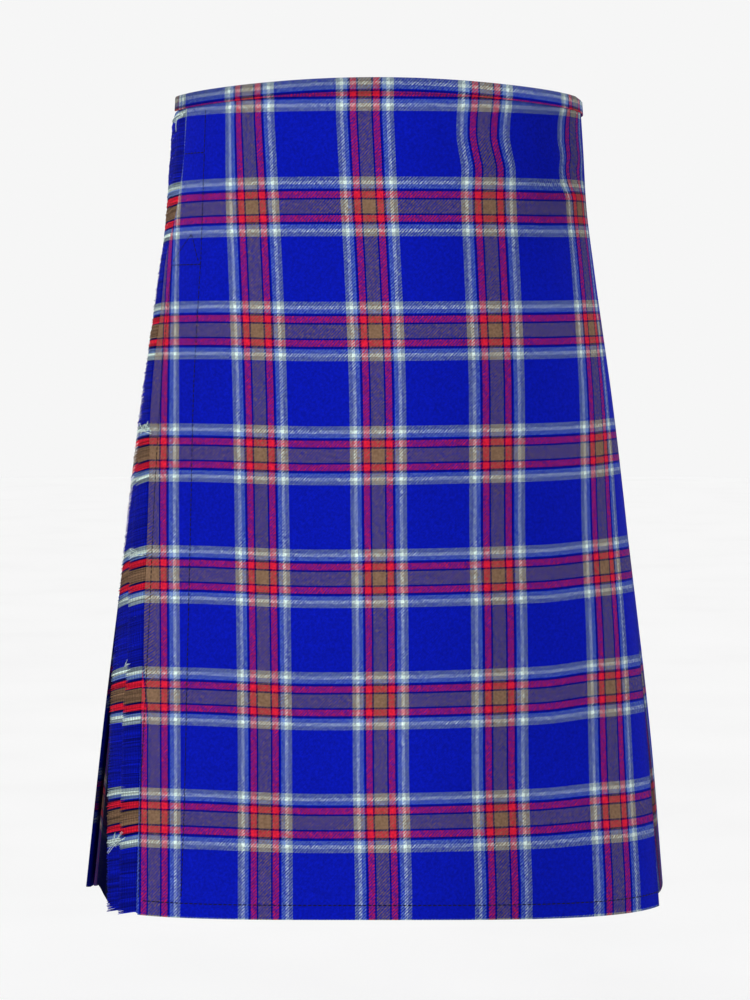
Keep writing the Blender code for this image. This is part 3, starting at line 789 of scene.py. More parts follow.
def cloth_rows(step):
    """Heights from the hem to LAST_ROW, and one more that laid() puts at the top of the cloth."""
    return np.concatenate([np.arange(HEM, LAST_ROW - step, step), [LAST_ROW, 0.0]])


def shares(start, end, count):
    return np.linspace(start, end, count + 1)


# Cloth. A rule gives the places and depths of one column of cloth at the heights asked for.
def rule_maker(places):
    """Splits a function into its later values, which are given first, and its heights."""

    def make(*values):
        return lambda height: places(height, *values)

    return make


@rule_maker
def apron_rule(height, share):
    edge = -lay("edge", height)
    along = edge + share * (fold_at(0, height) - UNDERLAP - edge)
    return along, apron_relief(along, height)


@rule_maker
def apron_fold_rule(height, behind_fold, turn=0.0):
    """Places near the over apron's fold: turn goes from 0 to pi round it."""
    radius = 0.5 * (lay("pitch", height) + CLOTH)
    back = behind_fold if behind_fold > 0 else radius * (1 - math.sin(turn))
    return fold_at(0, height) - back, -radius * (1 - math.cos(turn))


def apron_shade(along, height):
    """Painted shade: the cloth's colour is darkened towards the wearer's left, where it turns from
    the light, most of all near the waist and at its fold.
    """
    turned = APRON_SHADE * ramp(along, *APRON_SHADE_ALONG)
    at_waist = WAIST_SHADE * ramp(along, *WAIST_SHADE_ALONG) * ramp(height, *WAIST_SHADE_UP)
    near_fold = ramp(along, fold_at(0, height) - FOLD_SHADE_WIDTH, FOLD_SHADE_WIDTH)
    return np.maximum(turned + at_waist, FOLD_SHADE * near_fold)


class KILT_OT_over_apron(Operator):
    """Makes the over apron, with its soft folds, its turned side and its hem"""

    bl_idname = "kilt.over_apron"
    bl_label = "Over Apron"

    def execute(self, context):
        cloth = context.scene.kilt_cloth
        sett = context.scene.kilt_pattern.warp_sett
        rows = cloth_rows(cloth.step)
        turn_at = HEM + cloth.hem_turn
        rows = np.sort(np.concatenate([rows, [turn_at, turn_at + 0.5 * CLOTH]]))
        rules = [apron_rule(share) for share in shares(0, 1, APRON_COLUMNS)]
        rules += [apron_fold_rule(UNDERLAP * share) for share in (0.75, 0.5, 0.3, 0.15)]
        flat = len(rules)
        rules += [apron_fold_rule(0.0, math.pi * share) for share in shares(0, 1, 6)]
        rules += [apron_fold_rule(UNDERLAP * share, math.pi) for share in (0.3, 0.65, 1.0)]
        along, out, height = laid(rules, rows)
        run = along.copy()
        fold = along[:, flat : flat + 1]
        run[:, flat:] = 2 * fold - along[:, flat:]
        across = warp_at(run, height, sett)
        in_hem = (rows <= turn_at + 1e-6)[:, None]
        free = (np.arange(len(rules)) < flat)[None, :]
        weights = np.where(in_hem & free, 1.0, 0.5)
        # Painted shade where the apron turns from the light and beside its fold
        shade = apron_shade(run, height)
        down = weft_at(along, height)
        places = (along, out, height, across, down)
        obj = cloth_piece("over_apron_cloth", *places, 2 * CLOTH, -1.0, weights, shade)
        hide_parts("over_apron")
        return {"FINISHED"}


@rule_maker
def hidden_rule(height, number, fold, distance, layers=0):
    """Places of a pleat's top layer, or of the layer under it, at a distance behind a fold."""
    along = fold_at(fold, height) - distance
    return along, layer_out(number, along, height, layers)


@rule_maker
def shown_rule(height, number, share, layers=0):
    """Places from the fold before a pleat to its own fold."""
    start = fold_at(number - 1, height)
    radius = 0.5 * lay("pitch", height)
    along = start + share * (fold_at(number, height) - radius - start)
    return along, layer_out(number, along, height, layers)


@rule_maker
def round_rule(height, number, fold, distance, turn):
    """The round where a pleat's cloth turns back under its fold, or out again at the inner fold."""
    radius = 0.5 * lay("pitch", height)
    along = fold_at(fold, height) - distance
    if distance == 0:
        start = layer_out(number, along, height)
        return along - radius * (1 - math.sin(turn)), start - radius * (1 - math.cos(turn))
    start = layer_out(number, along, height, 1)
    return along - radius * math.sin(turn), start - radius * (1 - math.cos(turn))


def pleat_rules(number, goes_on):
    """The rules of one pleat's cloth, each with the pleat's number and its sense: 1 where the cloth
    goes towards the fold and -1 where it comes back under it."""
    behind, underlap = (0, DEEP_UNDERLAP) if number == 2 else (number - 1, UNDERLAP)
    out = [hidden_rule(number, behind, underlap * share) for share in (1.0, 0.5)]
    if number == 2:
        out += [deep_rule(share) for share in shares(0, 1, DEEP_COLUMNS)[:-1]]
    columns = FIRST_PLEAT_COLUMNS if number == 1 else PLEAT_COLUMNS
    out += [shown_rule(number, share) for share in shares(0, 1, columns)]
    out += [round_rule(number, number, 0, math.pi * share) for share in (0.25, 0.5)]
    back = [round_rule(number, number, 0, math.pi * share) for share in (0.75, 1.0)]
    if number == 1:
        back += [shown_rule(1, share, 1) for share in shares(1, 0, DEEP_COLUMNS)[1:]]
        back += [hidden_rule(1, 0, DEEP_UNDERLAP * share, 1) for share in (0.5, 1.0)]
    else:
        back += [hidden_rule(number, number, UNDERLAP * share, 1) for share in (0.3, 0.65, 1.0)]
    if goes_on:
        inner = (0, DEEP_UNDERLAP) if number == 1 else (number, UNDERLAP)
        back += [round_rule(number, *inner, math.pi * share) for share in (0.35, 0.65)]
    return [(number, 1, rule) for rule in out] + [(number, -1, rule) for rule in back]


@rule_maker
def deep_rule(height, share):
    """Places of the second pleat's top layer under the deep first one."""
    start = fold_at(0, height)
    along = start + share * (fold_at(1, height) - start)
    return along, layer_out(2, along, height)


def pleat_shade(number, along, height):
    """The shadows beside the over apron's fold and at the last pleat's, where they stand open."""
    if number == 1:
        share = (along - fold_at(0, height)) / (fold_at(1, height) - fold_at(0, height))
        near = FIRST_SHADE * ramp(share, *FIRST_SHADE_SHARE)
    elif number == PLEATS:
        start = fold_at(PLEATS, height) - LAST_SHADE_REACH * LAST_SHADE_WIDTH
        near = LAST_SHADE * ramp(along, start, LAST_SHADE_WIDTH)
    else:
        near = np.zeros_like(along)
    return near * ramp(height, *PLEAT_SHADE_DOWN)


def under_shade(along, height):
    """The shadow between the fringes and the last pleat, deeper towards the hem."""
    return np.interp(along, UNDER_SHADE_AT, UNDER_SHADE) * ramp(height, *UNDER_SHADE_DOWN)


def under_lift(along, height):
    """How far the hem rises where the under apron goes back to the last pleat."""
    near_hem = ramp(height, HEM + LIFT_HIGH, -LIFT_HIGH)
    return near_hem * np.interp(along, UNDER_LIFT_AT, UNDER_LIFT)


def pleat_warp(number, sense, along, height, sett):
    """Pleated to the pattern: past the first pleat, what shows at the hip goes on with the apron's
    stripes."""
    hip = np.array(HIP)
    start = warp_at(fold_at(0, hip), hip, sett)
    shown = fold_at(number, hip) - fold_at(0, hip) + (FIRST_PLEAT_SHIFT if number == 1 else 0.0)
    past = fold_at(number, height) - along
    gather = np.maximum(1.0, reveal(hip) / reveal(height))
    return start + (shown - sense * past * gather) / sett


class KILT_OT_pleats(Operator):
    """Makes the knife pleats round the back, in three lengths of cloth"""

    bl_idname = "kilt.pleats"
    bl_label = "Pleats"

    def execute(self, context):
        sett = context.scene.kilt_pattern.warp_sett
        rows = cloth_rows(2 * context.scene.kilt_cloth.step)
        third = PLEATS // 3
        bounds = (0, third, 2 * third, PLEATS)
        for name, before, last in zip(("left", "centre", "right"), bounds, bounds[1:]):
            first = before + 1
            rules = []
            for number in range(first, last + 1):
                rules += pleat_rules(number, number < last)
            along, out, height = laid([rule for number, sense, rule in rules], rows)
            across = np.empty_like(along)
            shade = np.empty_like(along)
            for index, (number, sense, rule) in enumerate(rules):
                places, level = along[:, index], height[:, index]
                across[:, index] = pleat_warp(number, sense, places, level, sett)
                # Painted shadow inside the first and last pleats, where they stand open
                shade[:, index] = pleat_shade(number, places, level)
            node = "pleats_" + name
            down = weft_at(along, height)
            obj = cloth_piece(node + "_cloth", along, out, height, across, down, shade=shade)
            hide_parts(node)
        return {"FINISHED"}


@rule_maker
def under_rule(height, share):
    start = UNDER_RAMP - lay("last_fold", height)
    return start + share * (UNDER_END - start), under_out(height)


class KILT_OT_under_apron(Operator):
    """Makes the under apron, from the last pleat across the front to its edge"""

    bl_idname = "kilt.under_apron"
    bl_label = "Under Apron"

    def execute(self, context):
        sett = context.scene.kilt_pattern.warp_sett
        rows = cloth_rows(2 * context.scene.kilt_cloth.step)
        rules = [last_layer(share) for share in (1.0, 0.5, 0.0)]
        rules += [under_rule(share) for share in shares(0, 1, UNDER_COLUMNS)]
        along, out, height = laid(rules, rows)
        across = warp_at(along, height, sett) - UNDER_SHIFT
        down = weft_at(along, height)
        # Painted shadow, nearly black, between the fringes and the last pleat
        shade = under_shade(along, height)
        height = height + under_lift(along, height)
        obj = cloth_piece("under_apron_cloth", along, out, height, across, down, shade=shade)
        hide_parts("under_apron")
        return {"FINISHED"}


@rule_maker
def last_layer(height, share):
    """Places under the last pleat, on the wearer's right, measured round the other way."""
    along = fold_at(PLEATS, height) - share * UNDERLAP
    return along - girth(height), layer_out(PLEATS, along, height, 2)


def band_stations():
    """Rules of the band's places, with the depths of its outer and inner faces there."""
    pitch = float(lay("pitch", 0.0))
    sink = float(lay("sink", 0.0))
    under = float(under_out(0.0))
    past = shares(BAND_PAST_EDGE, BAND_NEAR_EDGE, 8)
    stations = [(past_edge(distance), 0.0, -CLOTH) for distance in past]
    stations += [(apron_rule(share), 0.0, -CLOTH) for share in shares(0, 1, 60)[:-1]]
    for layers, behind_fold in ((2, UNDERLAP), (4, UNDERLAP / 2), (STACK_LAYERS, 0.0)):
        stations.append((apron_fold_rule(behind_fold), 0.0, -(layers * pitch + CLOTH + sink)))
    for number in range(1, PLEATS + 1):
        past_fold = hidden_rule(number, number, -CLOTH)
        stations.append((past_fold, 0.0, -(STACK_LAYERS * pitch + CLOTH)))
    for share in shares(0, 1, 50):
        stations.append((once_round(under_rule(share)), under + CLOTH / 2, under - CLOTH / 2))
    return stations


@rule_maker
def past_edge(height, distance):
    """Places out past the over apron's edge."""
    return -lay("edge", height) - distance, 0.0 * height


@rule_maker
def once_round(height, rule):
    """The same places, measured on round the back from the wearer's left."""
    along, out = rule(height)
    return along + girth(height), out


class KILT_OT_waistband(Operator):
    """Makes the strip of cloth folded over the top edge"""

    bl_idname = "kilt.waistband"
    bl_label = "Waistband"

    def execute(self, context):
        pattern = context.scene.kilt_pattern
        lines = [band_line(*station) for station in band_stations()]
        along, out, height, below = [finer(np.array(part).T, 3) for part in zip(*lines)]
        middle = len(out) // 2
        run = np.where(np.arange(len(out))[:, None] <= middle, below, -below)
        down = -(BAND_LINE - run) / pattern.weft_sett
        across = warp_at(along, np.minimum(height, BAND_STRIPES_AT), pattern.warp_sett)
        corner = curve_through(BAND_CORNER_AT, BAND_CORNER, along)
        across = np.where(along < BAND_CORNER_AT[-1], corner, across)
        # Painted shade: the band's colour is darkened all along, and more towards its ends, where it
        # turns from the light
        shade = BAND_SHADE + BAND_SIDE_SHADE * ramp(np.abs(along), *BAND_SHADE_ALONG)
        obj = cloth_piece("waistband_cloth", along, out, height, across, down, shade=shade)
        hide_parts("waistband")
        return {"FINISHED"}


def band_line(rule, outer, inner):
    """Places, depths, heights and distances below the rim, up the outside and down the inside."""
    top = float(rim(rule(np.zeros(1))[0])[0])
    inside = inner - BAND_GAP - CLOTH / 2
    outside = outer + BAND_GAP + CLOTH / 2
    round_up = 0.5 * (outside - inside)
    rise = min(round_up, BAND_ROUND)
    turn = math.pi * shares(0, 1, 6)
    over = 0.5 * (outside + inside) + round_up * np.cos(turn)
    level = top - CLOTH / 2 - rise
    straight = BAND_DEPTH - CLOTH / 2 - rise
    outer_rows = level - straight * np.array(BAND_OUTER_ROWS)
    inner_rows = level - straight * np.array(BAND_INNER_ROWS)
    depth = np.concatenate([[outside] * len(outer_rows), over, [inside] * len(inner_rows)])
    height = np.concatenate([outer_rows, level + rise * np.sin(turn), inner_rows])
    return rule(height)[0], depth, height, top - height


def finer(lines, count):
    """Columns with more between them, straight across."""
    columns = lines.shape[1]
    at = np.arange((columns - 1) * count + 1) / count
    return np.array([np.interp(at, np.arange(columns), row) for row in lines])


# Fringes: where they start, their pieces, and how uneven their threads are
FRINGE_TOP = -0.0085
THREAD_FILL = 0.62
THREAD_DEPTH = 0.00042
THREAD_TAPER = 0.45
THREAD_TONE = 0.93
TONE_SPREAD = 0.10
LENGTH_WAVE = 0.010
LENGTH_STRAY = 0.0003
HEIGHT_WAVE = 0.0006
HEIGHT_STRAY = 0.00012
DEPTH_STRAY = 0.0003
LOWEST_THREAD = HEM - 0.004


def thread_piece(name, along, out, height, half_high, half_deep, tone, down):
    """Loose yarns as four-sided tubes, one a row of the arrays, root first."""
    count, points = along.shape
    rise = np.array([1.0, 0.0, -1.0, 0.0])
    lift = np.array([0.0, 1.0, 0.0, -1.0])
    verts = place(
        along[..., None],
        out[..., None] + half_deep[..., None] * lift,
        height[..., None] + half_high[..., None] * rise,
    ).reshape(-1, 3)
    first = (np.arange(count)[:, None, None] * points + np.arange(points - 1)[None, :, None]) * 4
    side = np.arange(4)[None, None, :]
    after = (side + 1) % 4
    walls = np.stack([first + side, first + side + 4, first + after + 4, first + after], axis=-1)
    ends = np.arange(count)[:, None] * points * 4
    roots = ends + np.array([0, 1, 2, 3])
    tips = ends + (points - 1) * 4 + np.array([3, 2, 1, 0])
    faces = np.concatenate([walls.reshape(-1, 4), roots, tips])
    obj = mesh_object(name, verts, faces.tolist())
    shade = np.broadcast_to(tone[:, None, None], (count, points, 4))
    level = np.broadcast_to(down[:, None, None], (count, points, 4))
    write_map(obj.data, shade, level)
    return dress(obj, name, fringe_yarn())


def smooth_noise(random, count, spread):
    """Random numbers that change slowly from one thread to the next, from about -1 to 1."""
    kernel = np.exp(-(np.linspace(-2.5, 2.5, int(5 * spread) | 1) ** 2))
    rough = random.normal(size=count + len(kernel) - 1)
    smooth = np.convolve(rough, kernel, "valid")
    return np.clip(smooth / smooth.std() / 2, -1.2, 1.2)


def fringe_threads(name, node, settings, start, reach, depth, points, seed):
    """A fringe: its threads leave the edge at the distance start, and are as long as reach says."""
    random = np.random.RandomState(seed)
    count = settings.threads
    top, bottom = FRINGE_TOP, HEM + 0.002
    pitch = (top - bottom) / count
    root = top - pitch * (np.arange(count) + 0.5)
    length = reach(root) - start(root)
    length = length * (1 + LENGTH_WAVE * smooth_noise(random, count, 9))
    length = length + LENGTH_STRAY * random.normal(size=count)
    share = np.linspace(0, 1, points)[None, :]
    run = length[:, None] * share
    wave = HEIGHT_WAVE * smooth_noise(random, count, 24)[:, None] * share
    stray = HEIGHT_STRAY * random.normal(size=count)[:, None] * share
    drop = settings.droop * DROOP(root)[:, None] * run * (0.85 + 0.15 * share)
    height = np.maximum(root[:, None] - drop + wave + stray, LOWEST_THREAD)
    along = -lay("edge", root)[:, None] - start(root)[:, None] - run
    out = depth(start(root)[:, None] + run, root[:, None])
    out = out + DEPTH_STRAY * random.normal(size=count)[:, None] * share
    taper = 1 - THREAD_TAPER * share**3
    half_high = np.broadcast_to(THREAD_FILL * pitch * taper, along.shape)
    half_deep = np.broadcast_to(THREAD_DEPTH * taper, along.shape)
    tone = np.clip(THREAD_TONE + TONE_SPREAD * random.normal(size=count), 0.65, 1.2)
    down = weft_at(-lay("edge", root), root)
    obj = thread_piece(name, along, out, height, half_high, half_deep, tone, down)
    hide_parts(node)


def table_curve(*table):
    """A smooth rule of the height through rows of a height and a value."""
    heights = [-row[0] for row in table]
    values = [row[1] for row in table]
    return lambda height: curve_through(heights, values, -np.asarray(height, float))


STRIP_WIDTH = table_curve(
    (0.010, 0.0005), (-0.130, 0.0005), (-0.170, 0.0022), (-0.205, 0.0052), (-0.240, 0.0048),
    (-0.285, 0.0012), (-0.340, 0.0002), (-0.470, 0.0002), (HEM, 0.0010),
)
DROOP = table_curve(
    (0.010, 0.16), (-0.030, 0.05), (-0.200, 0.05), (-0.250, 0.11), (-0.290, 0.22), (-0.430, 0.23),
    (-0.470, 0.17), (-0.500, 0.17), (-0.540, 0.24), (HEM, 0.20),
)
UPPER_END = table_curve(
    (0.010, 0.0165), (-0.012, 0.0172), (-0.030, 0.0200), (-0.060, 0.0222), (-0.130, 0.0235),
    (-0.346, 0.0230), (-0.378, 0.0205), (-0.429, 0.0180), (-0.447, 0.0200), (-0.512, 0.0188),
    (HEM, 0.0172),
)
UNDER_END_REACH = table_curve(
    (0.010, 0.070), (-0.080, 0.066), (-0.130, 0.053), (-0.350, 0.051), (-0.436, 0.047),
    (-0.479, 0.042), (-0.515, 0.039), (-0.551, 0.036), (HEM, 0.032),
)
UPPER_ROOT = 0.0004
UNDER_ROOT = 0.0140

# How far out the fringes stand, and how much further in the under one is at the waist strap
UPPER_DEPTH = -0.0005
UPPER_WAIST_IN = 0.0016
UPPER_WAIST_UP = Ramp(-0.130, 0.040)
UNDER_DEPTH = -0.0027
UNDER_HEM_IN = 0.0008
UNDER_TIP_OUT = 0.0018
UNDER_TIP_PAST = Ramp(0.022, 0.028)
OVER_STRAP_AT = (-0.055, -0.045, -0.0135, -0.0110)
OVER_STRAP_IN = (0.0, 0.0006, 0.0006, 0.0020)
STRIP_CLOTH = 0.0006


def upper_fringe_depth(past, height):
    """Near the waist the fringe stands back, with a dark gap beside the apron's edge."""
    return 0.0 * past + UPPER_DEPTH - UPPER_WAIST_IN * ramp(height, *UPPER_WAIST_UP)


def under_fringe_depth(past, height):
    """The tips stand out a little, and the fringe stands in towards the hem and at the waist."""
    lift = UNDER_TIP_OUT * ramp(past, *UNDER_TIP_PAST) - UNDER_HEM_IN * ramp(height, 0.0, HEM)
    return lift + UNDER_DEPTH - np.interp(height, OVER_STRAP_AT, OVER_STRAP_IN)


class KILT_OT_fringes(Operator):
    """Makes the two fringes at the over apron's edge, and the woven strips that they come from"""

    bl_idname = "kilt.fringes"
    bl_label = "Fringes"

    def execute(self, context):
        settings = context.scene.kilt_fringe
        sett = context.scene.kilt_pattern.warp_sett
        upper = (lambda height: UPPER_ROOT + STRIP_WIDTH(height), UPPER_END, upper_fringe_depth)
        under = (lambda height: UNDER_ROOT + 0 * height, UNDER_END_REACH, under_fringe_depth)
        fringe_threads("fringe_upper_threads", "fringe_upper", settings, *upper, points=7, seed=11)
        fringe_threads("fringe_under_threads", "fringe_under", settings, *under, points=9, seed=23)
        rows = np.arange(HEM + CLOTH, FRINGE_TOP, 0.004)[:, None]
        strips = (
            ("fringe_upper_strip", 0.0003, STRIP_WIDTH(rows) + 0.0004, -0.0004),
            ("fringe_under_strip", -0.0050, 0.0160, -0.0025),
        )
        for name, inner, outer, depth in strips:
            past = shares(1, 0, 6)[None, :]
            along = -lay("edge", rows) - inner - past * (outer - inner)
            depth = depth + upper_fringe_depth(past, rows)
            across, down = warp_at(along, rows, sett), weft_at(along, rows)
            cloth_piece(name, along, depth, rows, across, down, STRIP_CLOTH)
        return {"FINISHED"}


# Sewing. A line of stitches runs through points, each a place along the girth and a height.
SEWING = (
    (
        (-0.1320, -0.0130), (-0.1320, -0.1210), (-0.1354, -0.2120), (-0.1368, -0.3280),
        (-0.1374, -0.3740), (-0.1393, -0.5120), (-0.1416, -0.5870),
    ),
    (
        (-0.1640, -0.1275), (-0.1675, -0.2200), (-0.1695, -0.2930), (-0.1705, -0.3730),
        (-0.1725, -0.4450), (-0.1748, -0.5000), (-0.1750, -0.5880),
    ),
    ((-0.1540, -0.0450), (-0.1320, -0.0450)),
    ((-0.1640, -0.1275), (-0.1330, -0.1275)),
    ((-0.1418, -0.1050), (-0.1610, -0.1240)),
    ((-0.1418, -0.1050), (-0.1340, -0.1260)),
)
HEM_SEWING_ABOVE = 0.0105
HEM_SEWING_STARTS = -0.172
HEM_SEWING_SHORT = 0.0015
PLEAT_SEWING_STARTS = -0.016
PLEAT_SEWING_BEHIND = 0.0016
Stitch = namedtuple("Stitch", "length gap width")
APRON_STITCH = Stitch(0.0032, 0.0004, 0.0009)
PLEAT_STITCH = Stitch(0.0030, 0.0035, 0.0005)
STRAP_STITCH = Stitch(0.0024, 0.0012, 0.0006)

# Loose white threads: how many are drawn through each row of points, and how far they stray
LOOSE_COPIES = 2
LOOSE_POINTS = 11
LOOSE_SPREAD = 0.0007
LOOSE_RADIUS = 0.00024
LOOSE_WHITE = 0.186
LOOSE = (
    ((-0.1760, -0.2515), (-0.1850, -0.2500), (-0.1920, -0.2475), (-0.1985, -0.2440)),
    ((-0.1770, -0.2510), (-0.1840, -0.2455), (-0.1890, -0.2480), (-0.1940, -0.2520)),
    ((-0.1820, -0.2440), (-0.1870, -0.2500), (-0.1960, -0.2505)),
    ((-0.1750, -0.3395), (-0.1830, -0.3400), (-0.1920, -0.3385), (-0.1995, -0.3375)),
    ((-0.1790, -0.3410), (-0.1900, -0.3420), (-0.1990, -0.3450)),
    ((-0.1900, -0.4200), (-0.1925, -0.4215), (-0.1930, -0.4180)),
    ((-0.1990, -0.5440), (-0.1985, -0.5490), (-0.1965, -0.5530)),
    ((-0.1900, -0.5420), (-0.1960, -0.5490), (-0.2050, -0.5540)),
    ((-0.1870, -0.5460), (-0.1960, -0.5510), (-0.2060, -0.5590)),
    ((-0.1570, -0.0140), (-0.1640, -0.0175), (-0.1720, -0.0200)),
    ((-0.1580, -0.0160), (-0.1650, -0.0205), (-0.1700, -0.0270)),
)


def run_of(points, step):
    """Places every step along a line of points, with the line's direction there."""
    points = np.array(points, float)
    along = np.concatenate([[0.0], np.cumsum(np.hypot(*np.diff(points, axis=0).T))])
    at = np.arange(step / 2, along[-1], step)
    places = np.stack([np.interp(at, along, points[:, axis]) for axis in (0, 1)], axis=-1)
    ahead = np.stack([np.interp(at + 1e-4, along, points[:, axis]) for axis in (0, 1)], axis=-1)
    way = ahead - places
    return places, way / np.maximum(np.hypot(*way.T), 1e-9)[:, None]


def stitch_piece(name, lines, depth, stitch):
    """Stitches along lines: one is shaped as a flat bead and copied. depth says how far out it is."""
    deselect()
    bpy.ops.mesh.primitive_uv_sphere_add(segments=6, ring_count=4, radius=0.5)
    bead = bpy.context.object
    bpy.ops.object.mode_set(mode="EDIT")
    bpy.ops.transform.rotate(value=math.pi / 2, orient_axis="Y", center_override=(0, 0, 0))
    bpy.ops.transform.resize(value=(stitch.length, stitch.width, 0.6 * stitch.width))
    bpy.ops.object.mode_set(mode="OBJECT")
    unit = np.array([vert.co[:] for vert in bead.data.vertices])
    corners = [list(face.vertices) for face in bead.data.polygons]
    bpy.data.objects.remove(bead)
    verts, faces = [], []
    for points in lines:
        places, way = run_of(points, stitch.length + stitch.gap)
        along, height = places.T
        out = depth(along, height)
        centre = place(along, out, height)
        ahead = place(along + 1e-4 * way[:, 0], out, height + 1e-4 * way[:, 1]) - centre
        lift = place(along, out + 1e-3, height) - centre
        ahead /= np.linalg.norm(ahead, axis=1)[:, None]
        lift /= np.linalg.norm(lift, axis=1)[:, None]
        aside = np.cross(lift, ahead)
        axes = np.stack([ahead, aside, lift], axis=1)
        for middle, turn in zip(centre, axes):
            start = len(verts) * len(unit)
            verts.append(middle + unit @ turn)
            faces += [[start + corner for corner in face] for face in corners]
    obj = mesh_object(name, np.concatenate(verts), faces)
    dress(obj, name, sewing_thread())


class KILT_OT_sewing(Operator):
    """Makes the rows of stitches on the over apron, round its hem and down the sewn pleats"""

    bl_idname = "kilt.sewing"
    bl_label = "Sewing"

    def execute(self, context):
        def on_apron(along, height):
            return apron_relief(along, height) + 0.00005

        def on_pleats(along, height):
            return 0.0 * along - 0.0002

        level = HEM + HEM_SEWING_ABOVE
        end = float(fold_at(0, level)) - HEM_SEWING_SHORT
        hem = tuple((along, level) for along in shares(HEM_SEWING_STARTS, end, 24))
        stitch_piece("apron_stitches", (*SEWING, hem), on_apron, APRON_STITCH)
        rows = shares(PLEAT_SEWING_STARTS, FELL, 24)
        lines = []
        for number in range(1, PLEATS + 1):
            lines.append(list(zip(fold_at(number, rows) - PLEAT_SEWING_BEHIND, rows)))
        stitch_piece("pleat_stitches", lines, on_pleats, PLEAT_STITCH)
        return {"FINISHED"}


class KILT_OT_loose_threads(Operator):
    """Makes the white threads that have pulled loose from the fringe"""

    bl_idname = "kilt.loose_threads"
    bl_label = "Loose Threads"

    def execute(self, context):
        random = np.random.RandomState(5)
        along, height = [], []
        for points in LOOSE:
            for _ in range(LOOSE_COPIES):
                stray = random.normal(scale=LOOSE_SPREAD, size=(len(points), 2))
                shifted = np.array(points) + stray
                at = np.linspace(0, len(points) - 1, LOOSE_POINTS)
                along.append(curve_through(range(len(points)), shifted[:, 0], at))
                height.append(curve_through(range(len(points)), shifted[:, 1], at))
        along, height = np.array(along), np.array(height)
        arch = np.sin(math.pi * np.linspace(0, 1, LOOSE_POINTS)[None, :])
        out = 0.0006 + 0.0022 * arch * random.uniform(0.3, 1.0, size=(len(along), 1))
        thin = np.full_like(along, LOOSE_RADIUS)
        tone = random.uniform(0.92, 1.02, size=len(along))
        white = np.full(len(along), LOOSE_WHITE)
        thread_piece("loose_threads", along, out, height, thin, thin, tone, white)
        return {"FINISHED"}


# Straps and buckles. A fastening's own run starts at the buckle's front bar and goes on towards the
# strap's tip; depths are measured out from the pleats' folds.
STRAP_WIDTH = 0.032
STRAP = 0.0020
TAB = 0.0012
WIRE = 0.0014
PRONG = 0.0009
FRAME_LENGTH = 0.027
FRAME_WIDTH = 0.0375
FRAME_CORNER = 0.005
KEEPER_WALL = 0.0010
KEEPER_WIDTH = 0.008
KEEPER_AT = 0.043
TAB_SEWN = 0.062
TIP_AT = 0.098
POINT_LENGTH = 0.016
POINT_SHARE = 0.16
PRONG_BEND = 0.010
PRONG_END = 0.0020
STRAP_STEP = 0.0020
STRAP_ROWS = 9
STRAP_CROWN = 0.0003
STRAP_CLEAR = 0.0004
STRAP_RISE = 0.004
STRAP_RAMP = 0.016
STRAP_OUT = 0.005
TIP_LIFT = 0.0006
SEWN_FROM_EDGE = 0.0026
HOLE_RADIUS = 0.0019
WELD = 0.00001
BUCKLE_BEHIND_FOLD = 0.032
OVER_SEWN = SEAM + TAB + SEAM + KEEPER_WALL + SEAM + TAB + SEAM
OVER_TAB = SEAM + TAB + SEAM + 2 * WIRE + SEAM + 2 * PRONG + SEAM
HOLES = (-0.036, -0.018, 0.074, 0.086)

# A strap's underside from the buckle's front bar to its tip, as runs and depths
OVER_BUCKLE = (
    (0.003, SEAM),
    (0.009, SEAM + TAB),
    (0.019, OVER_TAB),
    (0.028, OVER_TAB),
    (KEEPER_AT - KEEPER_WIDTH + 0.002, OVER_SEWN),
    (TAB_SEWN + 0.004, OVER_SEWN),
    (TAB_SEWN + 0.016, SEAM + TIP_LIFT),
    (TIP_AT, SEAM + TIP_LIFT),
)
Fastening = namedtuple("Fastening", "name height way sewn_at")
FASTENINGS = (
    Fastening("waist", -0.029, -1, -0.132),
    Fastening("hip", -0.111, -1, -0.133),
    Fastening("left", -0.029, 1, 0.126),
)


def bar_of(item):
    fold = "last_fold" if item.way < 0 else "fold"
    return item.way * (float(lay(fold, item.height)) + BUCKLE_BEHIND_FOLD)


def strap_path(item, bar):
    """Runs and depths of the underside of a strap, from its sewn end to its tip."""
    height = item.height
    start = (item.sewn_at - bar) * item.way
    if item.way < 0:
        fold = (-float(lay("last_fold", height)) - bar) * item.way
        hidden = float(under_out(height)) + CLOTH / 2 + SEAM + STRAP_CLEAR
        points = [(start, hidden), (fold - UNDER_RAMP, hidden), (fold - STRAP_OUT, SEAM)]
    else:
        edges = height + STRAP_WIDTH / 2 * np.array([1.0, 0.0, -1.0])
        fold = float(lay("fold", height)) - bar
        low = float(under_out(height)) + CLOTH / 2 + SEAM
        inside = float(layer_out(1, fold_at(0, height), height)) + CLOTH / 2 + SEAM
        rise = fold - UNDERLAP - STRAP_RISE
        points = [(start, low), (rise - STRAP_RAMP, low), (rise, inside)]
        points.append((float(fold_at(0, edges).min()) - bar - CLOTH, inside))
        for share in (0.25, 0.5, 0.75):
            along = float(fold_at(0, height) + share * (fold_at(1, height) - fold_at(0, height)))
            above = float(layer_out(1, along, edges).max()) + CLOTH / 2 + SEAM
            points.append((along - bar, above))
        points.append((float(fold_at(1, edges).min()) - bar, SEAM))
    return points + list(OVER_BUCKLE)


def strap_depth(item, bar):
    """The strap's underside as a smooth rule of the run."""
    path = np.array(strap_path(item, bar))
    fine = np.arange(path[0, 0], TIP_AT + 0.0005, 0.0005)
    depth = np.interp(fine, *path.T)
    soft = np.ones(7) / 7
    depth = np.convolve(np.pad(depth, 3, mode="edge"), soft, "valid")
    return lambda run: np.interp(run, fine, depth)


